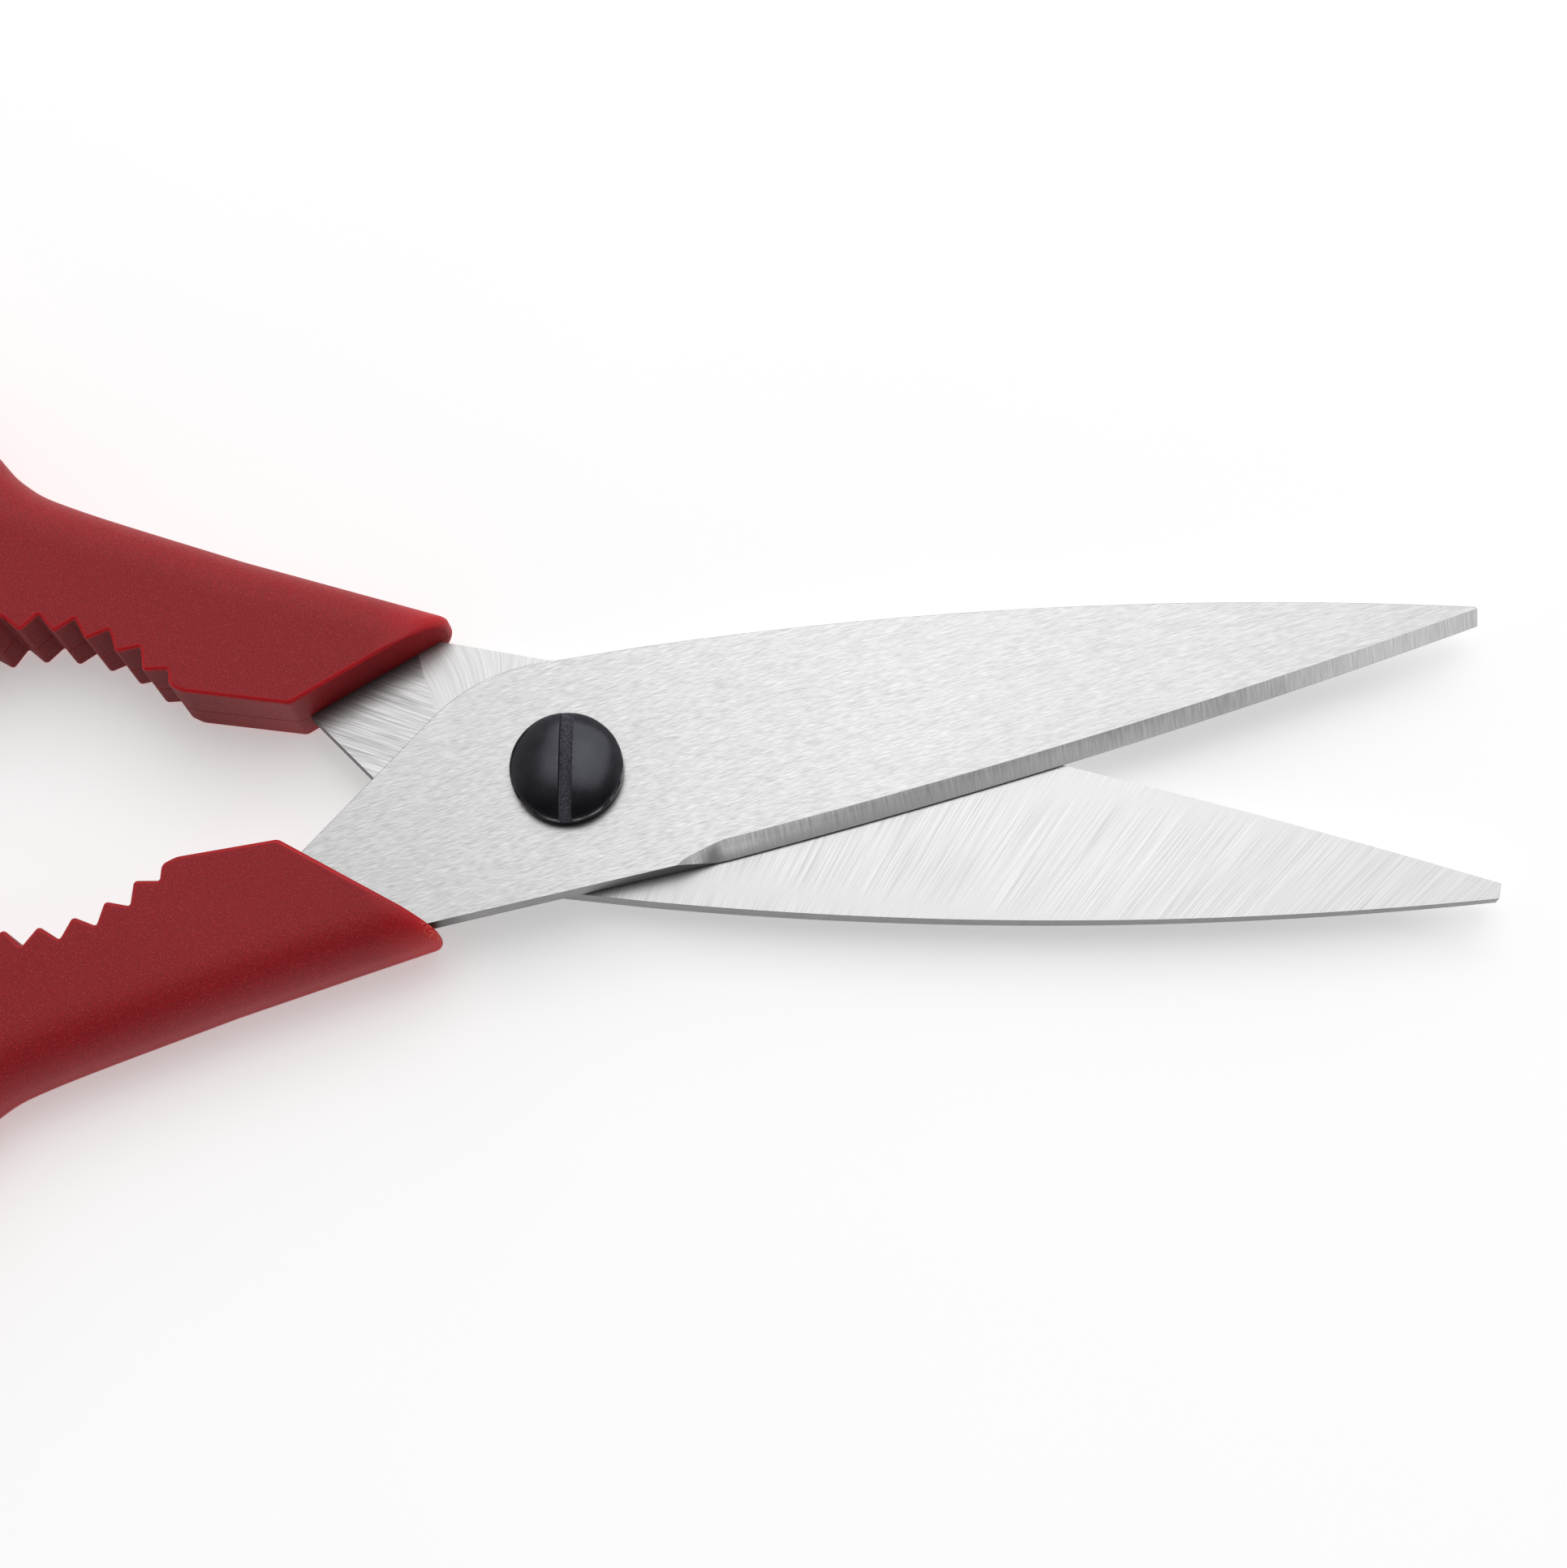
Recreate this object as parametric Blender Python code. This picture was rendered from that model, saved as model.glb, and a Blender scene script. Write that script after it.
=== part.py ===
"""Kitchen shears: two ground steel blades on one pivot screw, with moulded toothed handles.

The shears lie flat on the plane z = 0 with the blades along +X. The pivot's axis is the Z axis.
Each half is drawn closed, in its own frame: the blade's ground inner face on z = 0, its spine
towards +Y, its handle towards -Y. The front half stands as drawn, the rear half is the same
shape turned over about X, and both are then swung open by half of the opening angle.
"""

import math

import bmesh
import bpy
from mathutils import Vector

MM = 0.001                        # the sizes below are in millimetres

# Pose and heights
HALF_OPEN = math.radians(8.6)     # how far each half is swung from closed
HANDLE_T = 10.8                   # a handle's thickness, from the resting plane up
SPLIT_Z = 4.8                     # height of the plane where the two blades meet
FACE_GAP = 0.3                    # between the blades' inner faces
FIT_GAP = 0.3                     # round a tang in its handle, and round the bushes

# Blade
BLADE_T = 2.7                     # at the pivot
TIP_T = 1.6                       # at the tip
TAPER_X = 9.2                     # where the outer face starts to taper
RUN_OUT = (TAPER_X, -11.45)       # where the bevel has run out
HEEL = (14.2, -11.2)              # rear end of the cutting edge
TIP_EDGE = (93.1, -0.55)
TIP_SPINE = (92.95, 1.05)
EDGE_RADIUS = 850.0               # the slight belly of the cutting edge
SPINE_RADIUS = 425.0
SPINE_REAR = (-1.3, 11.7)
CORNER_RADIUS = 18.0              # rounding between the spine and the slanting rear edge
CORNER_END = (-12.2, 8.1)
BEVEL_HEEL = 1.55                 # the ground bevel's width at the heel and at the tip
BEVEL_TIP = 1.4

# Tang, from where it leaves the blade to its rounded end inside the handle
TANG_UPPER = [(-27.6, -3.83), (-32.5, -8.3), (-45.0, -11.4)]
TANG_LOWER = [(-45.0, -16.3), (-16.2, -12.95)]
TANG_END_RADIUS = 2.6
KEY_HOLE = (-38.5, -12.7)         # hole through the tang that the moulding flows into
KEY_HOLE_RADIUS = 1.6

# Pivot: the screw's bush turns in the front blade, the nut's barrel sits in the rear blade
BORE_RADIUS = 3.8
BUSH_RADIUS = 3.5
HEAD_RADIUS = 5.65
HEAD_UNDER_Z = 8.35
HEAD_RIM_Z = 9.1
HEAD_TOP_Z = 10.6
HEAD_FULLNESS = 1.15              # 1 is an elliptic dome, more is a pointed one
HEAD_STEPS = 6
HEAD_CHAMFER = 0.2
BUSH_END_Z = 4.85
SHANK_RADIUS = 2.3
SHANK_END_Z = 1.6
SHANK_CHAMFER = 0.3
SLOT_WIDTH = 1.35
SLOT_FLOOR_Z = 9.0
SLOT_REACH = 4.0                  # height of the cutter that makes the slot
SLOT_TURN = math.radians(-1.4)
HEAD_WASHER_RADIUS = 5.3
HEAD_WASHER_Z = (7.85, 8.15)
NUT_RADIUS = 6.0
NUT_FLANGE_T = 0.9
NUT_CHAMFER = 0.3
NUT_BORE_RADIUS = 2.6
NUT_BORE_FLOOR_Z = 1.2
NUT_TOP_Z = 4.55
WAVE_WASHER_RADIUS = 5.6
WAVE_WASHER_T = 0.4
WAVE_WASHER_Z = 1.225             # mean height of its underside
WAVE_HEIGHT = 0.07                # the spring washer's three waves
ROUND_STEPS = 48
CUT_PAST = 2.0                    # how far a cutter runs past what it cuts

# Handle
FLAT_Y = -2.65                    # the straight stretch in front of the teeth
FLAT = [(-5.0, FLAT_Y), (-38.9, FLAT_Y), (-40.4, -3.15)]
SHOULDER = (-22.8, -7.5)          # a point of the slanting wall that the tang comes out of
SHOULDER_ANGLE = math.radians(-38.7)
REAR_REACH = 0.5                  # the rear handle's wall stands this much nearer to the pivot
NOSE_X = -14.8                    # the shoulder's point is blunted here
NOSE_FOLLOW = 1.3                 # how far the blunted point moves for each unit of the wall
JAW_CENTRE = (-53.1, 11.0)        # the teeth lie on a circle about this point
JAW_TIP_RADIUS = 18.2
JAW_ROOT_RADIUS = 20.0
TOOTH_PITCH = math.radians(10.7)
TOOTH_FIRST = math.radians(0.6)
TOOTH_RANGE = range(3, -4, -1)    # seven teeth, from the pivot backwards
EDGE_ROUND = 0.45                 # the small radius along the toothed side
STOP_ROUND = 0.65
DEPTH_SHARES = [1.0, 0.925, 0.75, 0.45, 0.0]   # where the rounded edge has points
KEY_ROOT = 1.5                    # how deep the key runs into the plastic on both sides
# The outer side and the finger loop: x, y, and the radius that rounds the edge there
OUTER_START = (-5.0, -13.2, 4.6)
LOOP_OUTSIDE = [
    (-36.0, -18.3, 5.2), (-54.0, -21.9, 5.4), (-60.0, -23.95, 5.4), (-64.6, -27.6, 5.0),
    (-70.8, -33.3, 4.4), (-79.0, -38.1, 4.0), (-89.0, -40.1, 4.0), (-99.5, -38.2, 4.0),
    (-108.5, -32.2, 4.0), (-113.8, -23.6, 4.0), (-114.6, -14.6, 4.0), (-110.4, -7.2, 3.8),
    (-102.5, -3.0, 3.2), (-92.0, -1.5, 2.4), (-82.0, -0.5, 1.2),
]
LOOP_HOLE = [
    (-69.0, -17.5), (-71.0, -12.4), (-77.5, -9.6), (-86.0, -8.9), (-95.0, -9.4),
    (-103.2, -11.8), (-107.0, -17.6), (-105.8, -24.6), (-99.6, -30.4), (-89.5, -32.4),
    (-80.0, -30.4), (-72.6, -25.2),
]
HOLE_ROUND = 3.3
STOP_X = (-79.0, -69.0)           # flats where the two closed loops meet
STOP_Y = -0.35
JAW_END = (-66.6, -2.65)

STEEL_LOOK = ((0.62, 0.63, 0.64), 0.32, 1.0)
PLASTIC_LOOK = ((0.33, 0.018, 0.022), 0.48, 0.0)
BLACK_LOOK = ((0.015, 0.015, 0.018), 0.35, 1.0)
ZINC_LOOK = ((0.45, 0.46, 0.47), 0.4, 1.0)


# ---------------------------------------------------------------- curves

def circle_centre(start, end, radius):
    """Centre of the arc from start to end that bulges to the right of the way along it."""
    a = Vector(start)
    b = Vector(end)
    chord = b - a
    left = Vector((-chord.y, chord.x)).normalized()
    depth = math.sqrt(radius ** 2 - (chord.length / 2) ** 2)
    return (a + b) / 2 + left * depth


def arc(start, end, radius, steps):
    """Points on an arc that bulges to the right of the way from start to end, both ends in."""
    centre = circle_centre(start, end, radius)
    first = Vector(start) - centre
    sweep = first.angle_signed(Vector(end) - centre)
    points = []
    for step in range(steps + 1):
        angle = math.atan2(first.y, first.x) - sweep * step / steps
        points.append((centre.x + radius * math.cos(angle), centre.y + radius * math.sin(angle)))
    return points


def smooth(points, steps, closed=False):
    """A Catmull-Rom curve through points of any number of coordinates."""
    count = len(points)
    spans = count if closed else count - 1
    knots = [Vector(p) for p in points]
    curve = []
    for span in range(spans):
        p1 = knots[span]
        p2 = knots[(span + 1) % count]
        p0 = knots[span - 1] if closed or span > 0 else p1 * 2 - p2
        p3 = knots[(span + 2) % count] if closed or span + 2 < count else p2 * 2 - p1
        for step in range(steps):
            t = step / steps
            near = p1 * 2 + (p2 - p0) * t
            bend = (p0 * 2 - p1 * 5 + p2 * 4 - p3) * t ** 2
            twist = (p1 * 3 - p0 - p2 * 3 + p3) * t ** 3
            curve.append(tuple((near + bend + twist) / 2))
    if not closed:
        curve.append(tuple(knots[-1]))
    return curve


def offset_point(before, point, after, distance):
    """The corner of a loop after its sides have moved to the left by the distance."""
    a = (Vector(point) - Vector(before)).normalized()
    b = (Vector(after) - Vector(point)).normalized()
    left = Vector((-a.y - b.y, a.x + b.x)).normalized()
    half = max(0.35, left.dot(Vector((-a.y, a.x))))
    return Vector(point) + left * (distance / half)


# ---------------------------------------------------------------- objects

def look(name, finish):
    """A plain material of one colour."""
    colour, roughness, metallic = finish
    material = bpy.data.materials.get(name)
    if material is None:
        material = bpy.data.materials.new(name)
        material.use_nodes = True
        shader = material.node_tree.nodes["Principled BSDF"]
        shader.inputs["Base Color"].default_value = (*colour, 1.0)
        shader.inputs["Roughness"].default_value = roughness
        shader.inputs["Metallic"].default_value = metallic
    return material


def mesh_object(name, bm, parent=None, material=None):
    """An object from a mesh drawn in millimetres, shaded smooth but for its sharp edges."""
    bmesh.ops.scale(bm, vec=(MM, MM, MM), verts=bm.verts)
    bmesh.ops.recalc_face_normals(bm, faces=bm.faces)
    mesh = bpy.data.meshes.new(name)
    bm.to_mesh(mesh)
    bm.free()
    mesh.shade_smooth()
    mesh.set_sharp_from_angle(angle=math.radians(30))
    obj = bpy.data.objects.new(name, mesh)
    bpy.context.scene.collection.objects.link(obj)
    obj.parent = parent
    if material is not None:
        mesh.materials.append(material)
    return obj


def boolean(obj, cutter, operation):
    """Cut or join another object's shape, which is then only a guide."""
    cutter.hide_render = True
    cutter.display_type = "WIRE"
    modifier = obj.modifiers.new(cutter.name, "BOOLEAN")
    modifier.operation = operation
    modifier.solver = "EXACT"
    modifier.object = cutter


def prism(outline, low, high):
    """A closed prism over an outline."""
    bm = bmesh.new()
    face = bm.faces.new([bm.verts.new((x, y, low)) for x, y in outline])
    side = bmesh.ops.extrude_face_region(bm, geom=[face])["geom"]
    moved = [item for item in side if isinstance(item, bmesh.types.BMVert)]
    bmesh.ops.translate(bm, vec=(0, 0, high - low), verts=moved)
    return bm


def cylinder(centre, radius, low, high, steps=ROUND_STEPS):
    """A closed round bar along Z."""
    turns = [math.tau * step / steps for step in range(steps)]
    ring = [(centre[0] + radius * math.cos(t), centre[1] + radius * math.sin(t)) for t in turns]
    return prism(ring, low, high)


def turned(profile, steps=ROUND_STEPS):
    """A shape turned about Z from a profile of (radius, height) points."""
    bm = bmesh.new()
    verts = [bm.verts.new((radius, 0, height)) for radius, height in profile]
    edges = [bm.edges.new(pair) for pair in zip(verts, verts[1:])]
    if profile[0][0] > 0:
        edges.append(bm.edges.new((verts[-1], verts[0])))
    bmesh.ops.spin(bm, geom=verts + edges, axis=(0, 0, 1), cent=(0, 0, 0), dvec=(0, 0, 0),
                   angle=math.tau, steps=steps, use_merge=True, use_duplicate=False)
    bmesh.ops.remove_doubles(bm, verts=bm.verts, dist=0.001)
    return bm


# ---------------------------------------------------------------- blades

def spine_point(x):
    """The point of the curved spine at x."""
    centre = circle_centre(TIP_SPINE, SPINE_REAR, SPINE_RADIUS)
    return (x, centre.y + math.sqrt(SPINE_RADIUS ** 2 - (x - centre.x) ** 2))


def tang_upper_side():
    """From the top of the slanting rear edge down to the tang's end."""
    return [CORNER_END] + TANG_UPPER + arc(TANG_UPPER[-1], TANG_LOWER[0], TANG_END_RADIUS, 6)[1:-1]


def blade_outlines():
    """The inner face's outline and the outer face's, point for point, anticlockwise."""
    edge = arc(HEEL, TIP_EDGE, EDGE_RADIUS, 12)
    spine = [spine_point(TIP_SPINE[0] + (TAPER_X - TIP_SPINE[0]) * i / 12) for i in range(13)]
    rear = arc(SPINE_REAR, CORNER_END, CORNER_RADIUS, 6)[:-1] + tang_upper_side() + TANG_LOWER
    inner = [RUN_OUT] + edge + spine + rear
    outer = [RUN_OUT]
    for before, point, after in zip([RUN_OUT] + edge, edge, edge[1:] + [TIP_SPINE]):
        share = (point[0] - HEEL[0]) / (TIP_EDGE[0] - HEEL[0])
        width = BEVEL_HEEL + (BEVEL_TIP - BEVEL_HEEL) * share
        across = Vector((before[1] - after[1], after[0] - before[0])).normalized()
        outer.append((point[0] + across.x * width, point[1] + across.y * width))
    outer[-1] = (TIP_EDGE[0], TIP_EDGE[1] + BEVEL_TIP)
    return inner, outer + spine + rear, len(edge) + len(spine) + 1


def blade_mesh():
    """A blade with its tang: flat inner face, tapering outer face, ground bevel that runs out."""
    inner, outer, blade_count = blade_outlines()
    bm = bmesh.new()
    low = [bm.verts.new((x, y, 0)) for x, y in inner]
    high = []
    for x, y in outer:
        share = max(0.0, (x - TAPER_X) / (TIP_SPINE[0] - TAPER_X))
        high.append(bm.verts.new((x, y, BLADE_T + (TIP_T - BLADE_T) * share)))
    bm.faces.new(list(reversed(low)))
    bm.faces.new(high[:blade_count])
    bm.faces.new(high[blade_count - 1:] + high[:1])
    count = len(low)
    for i in range(count):
        k = (i + 1) % count
        bm.faces.new((low[i], low[k], high[i]))
        bm.faces.new((low[k], high[k], high[i]))
    return bm


def make_blade(name, half, steel):
    """A blade bored for the pivot, with the tang's key hole."""
    blade = mesh_object(name, blade_mesh(), half, steel)
    top = BLADE_T + CUT_PAST
    bore = cylinder((0, 0), BORE_RADIUS, -CUT_PAST, top)
    boolean(blade, mesh_object(name + ".bore", bore, half), "DIFFERENCE")
    hole = cylinder(KEY_HOLE, KEY_HOLE_RADIUS, -CUT_PAST, top, 20)
    boolean(blade, mesh_object(name + ".key_hole", hole, half), "DIFFERENCE")
    return blade


# ---------------------------------------------------------------- handles

def jaw_point(angle, radius):
    """A point on a circle about the jaw's centre, angle 0 being straight down."""
    x = JAW_CENTRE[0] + radius * math.sin(angle)
    y = JAW_CENTRE[1] - radius * math.cos(angle)
    return (x, y, EDGE_ROUND)


def jaw_side():
    """The toothed side, from the straight stretch in front to the stop behind."""
    points = [(x, y, EDGE_ROUND) for x, y in FLAT]
    for tooth in TOOTH_RANGE:
        tip = TOOTH_FIRST + TOOTH_PITCH * tooth
        points.append(jaw_point(tip + TOOTH_PITCH / 2, JAW_ROOT_RADIUS))
        points.append(jaw_point(tip, JAW_TIP_RADIUS))
    points.append(jaw_point(tip - TOOTH_PITCH / 2, JAW_ROOT_RADIUS))
    points.append((*JAW_END, EDGE_ROUND))
    points.append((STOP_X[1], STOP_Y, EDGE_ROUND))
    points.append((STOP_X[0], STOP_Y, STOP_ROUND))
    return points


def handle_outline():
    """The handle seen from the front, anticlockwise, past the shoulder that is cut later."""
    loop = smooth(LOOP_OUTSIDE, 3)
    return jaw_side() + list(reversed(loop)) + [OUTER_START]


def hole_outline():
    """The finger hole, clockwise, so that the plastic is on its left too."""
    curve = smooth(LOOP_HOLE, 3, closed=True)
    turned_left = sum(a[0] * b[1] - b[0] * a[1] for a, b in zip(curve, curve[1:] + curve[:1])) > 0
    if turned_left:
        curve.reverse()
    return [(x, y, HOLE_ROUND) for x, y in curve]


def level_points(outline, share, depth):
    """The outline at a share of the depth from the parting plane, drawn in by its rounding."""
    earlier = outline[-1:] + outline[:-1]
    later = outline[1:] + outline[:1]
    points = []
    for before, point, after in zip(earlier, outline, later):
        rounding = point[2]
        rise = min(rounding, depth)
        climb = max(0.0, (share * depth - (depth - rise)) / rise)
        inset = rounding * (1 - math.sqrt(max(0.0, 1 - climb ** 2)))
        moved = offset_point(before[:2], point[:2], after[:2], inset)
        points.append((moved.x, moved.y))
    return points


def handle_levels(down, up):
    """Heights, from the back face to the front face, with the share of depth at each."""
    below = [(-share * down, share, down) for share in DEPTH_SHARES]
    above = [(share * up, share, up) for share in reversed(DEPTH_SHARES[:-1])]
    return below + above


def handle_mesh(down, up, reach):
    """A handle between its back face at -down and its front face at up, about the parting plane."""
    bm = bmesh.new()
    caps = {0: [], 1: []}
    for outline in (handle_outline(), hole_outline()):
        rings = []
        for height, share, depth in handle_levels(down, up):
            points = level_points(outline, share, depth)
            rings.append([bm.verts.new((x, y, height)) for x, y in points])
        for ring, above in zip(rings, rings[1:]):
            for i in range(len(ring)):
                k = (i + 1) % len(ring)
                bm.faces.new((ring[i], ring[k], above[k], above[i]))
        caps[0].append(rings[0])
        caps[1].append(rings[-1])
    for loops in caps.values():
        edges = [bm.edges.get((a, b)) for loop in loops for a, b in zip(loop, loop[1:] + loop[:1])]
        bmesh.ops.triangle_fill(bm, use_beauty=True, edges=edges)
    wall_normal = Vector((-math.sin(SHOULDER_ANGLE), math.cos(SHOULDER_ANGLE), 0))
    cut_flat(bm, Vector((*SHOULDER, 0)) + wall_normal * reach, wall_normal)
    cut_flat(bm, Vector((NOSE_X + NOSE_FOLLOW * reach, 0, 0)), Vector((1, 0, 0)))
    return bm


def cut_flat(bm, place, normal):
    """Cut off what is past a plane and close the cut."""
    everything = bm.verts[:] + bm.edges[:] + bm.faces[:]
    cut = bmesh.ops.bisect_plane(bm, geom=everything, dist=1e-5, plane_co=place,
                                 plane_no=normal, clear_outer=True)
    rim = [item for item in cut["geom_cut"] if isinstance(item, bmesh.types.BMEdge)]
    bmesh.ops.edgenet_fill(bm, edges=rim)


def pocket_outline():
    """The space round the tang, open at the shoulder."""
    tang = [RUN_OUT] + tang_upper_side() + TANG_LOWER
    loop = []
    for before, point, after in zip(tang[-1:] + tang[:-1], tang, tang[1:] + tang[:1]):
        loop.append(offset_point(before, point, after, -FIT_GAP))
    return loop


def make_handle(name, half, plastic, down, up, reach=0.0):
    """A handle with the pocket for the tang and the key that fills the tang's hole."""
    handle = mesh_object(name, handle_mesh(down, up, reach), half, plastic)
    pocket = prism(pocket_outline(), -FIT_GAP, BLADE_T + FIT_GAP)
    boolean(handle, mesh_object(name + ".pocket", pocket, half), "DIFFERENCE")
    key = cylinder(KEY_HOLE, KEY_HOLE_RADIUS - FIT_GAP, -KEY_ROOT, BLADE_T + KEY_ROOT, 16)
    boolean(handle, mesh_object(name + ".key", key, half), "UNION")
    return handle


# ---------------------------------------------------------------- pivot

def make_pivot_screw(material):
    """Slotted screw with a domed head, a bush for the front blade and a shank for the nut."""
    dome = []
    height = HEAD_TOP_Z - HEAD_RIM_Z
    for step in range(HEAD_STEPS + 1):
        angle = math.pi / 2 * step / HEAD_STEPS
        rise = height * math.sin(angle) ** HEAD_FULLNESS
        dome.append((HEAD_RADIUS * math.cos(angle), HEAD_RIM_Z + rise))
    dome[-1] = (0, HEAD_TOP_Z)
    profile = [(0, SHANK_END_Z), (SHANK_RADIUS - SHANK_CHAMFER, SHANK_END_Z),
               (SHANK_RADIUS, SHANK_END_Z + SHANK_CHAMFER), (SHANK_RADIUS, BUSH_END_Z),
               (BUSH_RADIUS, BUSH_END_Z), (BUSH_RADIUS, HEAD_UNDER_Z),
               (HEAD_RADIUS - HEAD_CHAMFER, HEAD_UNDER_Z),
               (HEAD_RADIUS, HEAD_UNDER_Z + HEAD_CHAMFER)]
    screw = mesh_object("pivot_screw", turned(profile + dome), None, material)
    slot = bmesh.new()
    bmesh.ops.create_cube(slot, size=1)
    length = 2 * (HEAD_RADIUS + CUT_PAST)
    bmesh.ops.scale(slot, vec=(SLOT_WIDTH, length, SLOT_REACH), verts=slot.verts)
    bmesh.ops.translate(slot, vec=(0, 0, SLOT_FLOOR_Z + SLOT_REACH / 2), verts=slot.verts)
    cutter = mesh_object("pivot_screw.slot", slot)
    cutter.rotation_euler.z = SLOT_TURN
    boolean(screw, cutter, "DIFFERENCE")
    return screw


def make_head_washer(material):
    """Flat washer between the screw's head and the front blade."""
    low, high = HEAD_WASHER_Z
    profile = [(BORE_RADIUS, low), (HEAD_WASHER_RADIUS, low), (HEAD_WASHER_RADIUS, high),
               (BORE_RADIUS, high)]
    return mesh_object("head_washer", turned(profile), None, material)


def make_pivot_nut(material):
    """Round flanged nut whose barrel sits in the rear blade and takes the screw's shank."""
    profile = [(0, 0), (NUT_RADIUS - NUT_CHAMFER, 0), (NUT_RADIUS, NUT_CHAMFER),
               (NUT_RADIUS, NUT_FLANGE_T), (BUSH_RADIUS, NUT_FLANGE_T), (BUSH_RADIUS, NUT_TOP_Z),
               (NUT_BORE_RADIUS, NUT_TOP_Z), (NUT_BORE_RADIUS, NUT_BORE_FLOOR_Z),
               (0, NUT_BORE_FLOOR_Z)]
    return mesh_object("pivot_nut", turned(profile), None, material)


def make_wave_washer(material):
    """Spring washer with three waves, between the nut's flange and the rear blade."""
    low = WAVE_WASHER_Z
    high = low + WAVE_WASHER_T
    profile = [(BORE_RADIUS, low), (WAVE_WASHER_RADIUS, low), (WAVE_WASHER_RADIUS, high),
               (BORE_RADIUS, high)]
    bm = turned(profile)
    for vert in bm.verts:
        vert.co.z += WAVE_HEIGHT * math.sin(3 * math.atan2(vert.co.y, vert.co.x))
    return mesh_object("wave_washer", bm, None, material)


# ---------------------------------------------------------------- assembly

def half_frame(name, height, turn_over, swing):
    """The frame that one half is drawn in, with its origin on the pivot's axis."""
    frame = bpy.data.objects.new(name, None)
    frame.location.z = height * MM
    frame.rotation_euler = (math.pi if turn_over else 0, 0, swing)
    bpy.context.scene.collection.objects.link(frame)
    return frame


def main():
    for obj in list(bpy.data.objects):
        bpy.data.objects.remove(obj, do_unlink=True)

    steel = look("ground_steel", STEEL_LOOK)
    plastic = look("red_plastic", PLASTIC_LOOK)
    black = look("blackened_steel", BLACK_LOOK)
    zinc = look("zinc_plated_steel", ZINC_LOOK)

    front_plane = SPLIT_Z + FACE_GAP / 2
    rear_plane = SPLIT_Z - FACE_GAP / 2
    front = half_frame("front_half", front_plane, False, HALF_OPEN)
    rear = half_frame("rear_half", rear_plane, True, -HALF_OPEN)

    make_blade("front_blade", front, steel)
    make_blade("rear_blade", rear, steel)
    make_handle("front_handle", front, plastic, front_plane, HANDLE_T - front_plane)
    make_handle("rear_handle", rear, plastic, HANDLE_T - rear_plane, rear_plane, REAR_REACH)
    make_pivot_screw(black)
    make_head_washer(black)
    make_pivot_nut(zinc)
    make_wave_washer(zinc)


main()
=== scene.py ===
"""Kitchen shears: the finished look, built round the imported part.

Every visible piece is drawn again, finer, in the half frame of the part that it belongs to: the
blade's ground inner face on z = 0, its spine towards +Y, its handle towards -Y, in millimetres.
The front half stands as drawn, the rear half is turned over about X, and each is swung open.
"""

import math

import bmesh
import bpy
from mathutils import Matrix, Vector

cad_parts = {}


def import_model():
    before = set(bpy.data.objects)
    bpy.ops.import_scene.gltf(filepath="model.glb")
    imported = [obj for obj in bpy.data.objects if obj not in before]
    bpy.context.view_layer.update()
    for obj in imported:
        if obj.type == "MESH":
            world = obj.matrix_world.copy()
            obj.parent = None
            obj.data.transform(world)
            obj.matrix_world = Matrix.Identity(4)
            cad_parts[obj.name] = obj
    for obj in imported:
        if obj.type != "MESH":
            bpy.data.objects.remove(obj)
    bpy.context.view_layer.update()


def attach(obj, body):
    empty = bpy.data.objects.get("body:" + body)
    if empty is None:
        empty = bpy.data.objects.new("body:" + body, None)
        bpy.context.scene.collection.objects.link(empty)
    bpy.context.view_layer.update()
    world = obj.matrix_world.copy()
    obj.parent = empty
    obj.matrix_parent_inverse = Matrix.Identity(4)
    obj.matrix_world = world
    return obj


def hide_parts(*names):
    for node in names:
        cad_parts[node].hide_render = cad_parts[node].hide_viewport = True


MM = 0.001

# Pose and heights, as in the part
HALF_OPEN = math.radians(8.6)
HANDLE_T = 10.8
SPLIT_Z = 4.8
FACE_GAP = 0.3

# Blade
STEEL_SHARP = 25                  # degrees between faces from which an edge is drawn sharp
BLADE_T = 2.7
TIP_T = 1.6
TAPER_X = 9.2
HEEL = (14.2, -11.2)
RUN_OUT = (9.2, -11.45)
TIP_EDGE = (93.1, -0.55)
TIP_SPINE = (92.95, 1.05)
EDGE_RADIUS = 850.0
SPINE_RADIUS = 425.0
SPINE_REAR = (-1.3, 11.7)
CORNER_RADIUS = 18.0
CORNER_END = (-12.2, 8.1)
BEVEL_HEEL = 1.55
BEVEL_TIP = 1.4
BEVEL_LIP = 0.1                   # height of the flat that is left along the cutting edge
RUN_OUT_BOW = 0.66                # how full the upper end of the bevel is where it runs out
LIP_REACH = 0.82                  # share of the run-out in which the side wall dwindles
RUN_OUT_STEPS = 10
LONG_STEPS = 60                   # along the cutting edge, and along the spine
CORNER_STEPS = 16
BLADE_CHAMFER = 0.04
BORE_RADIUS = 3.8
TANG_UPPER = [(-27.6, -3.83), (-32.5, -8.3), (-45.0, -11.4)]
TANG_LOWER = [(-45.0, -16.3), (-16.2, -12.95)]
TANG_END_RADIUS = 2.6
TANG_END_STEPS = 12
KEY_HOLE = (-38.5, -12.7)
KEY_HOLE_RADIUS = 1.6
KEY_HOLE_STEPS = 48

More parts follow.
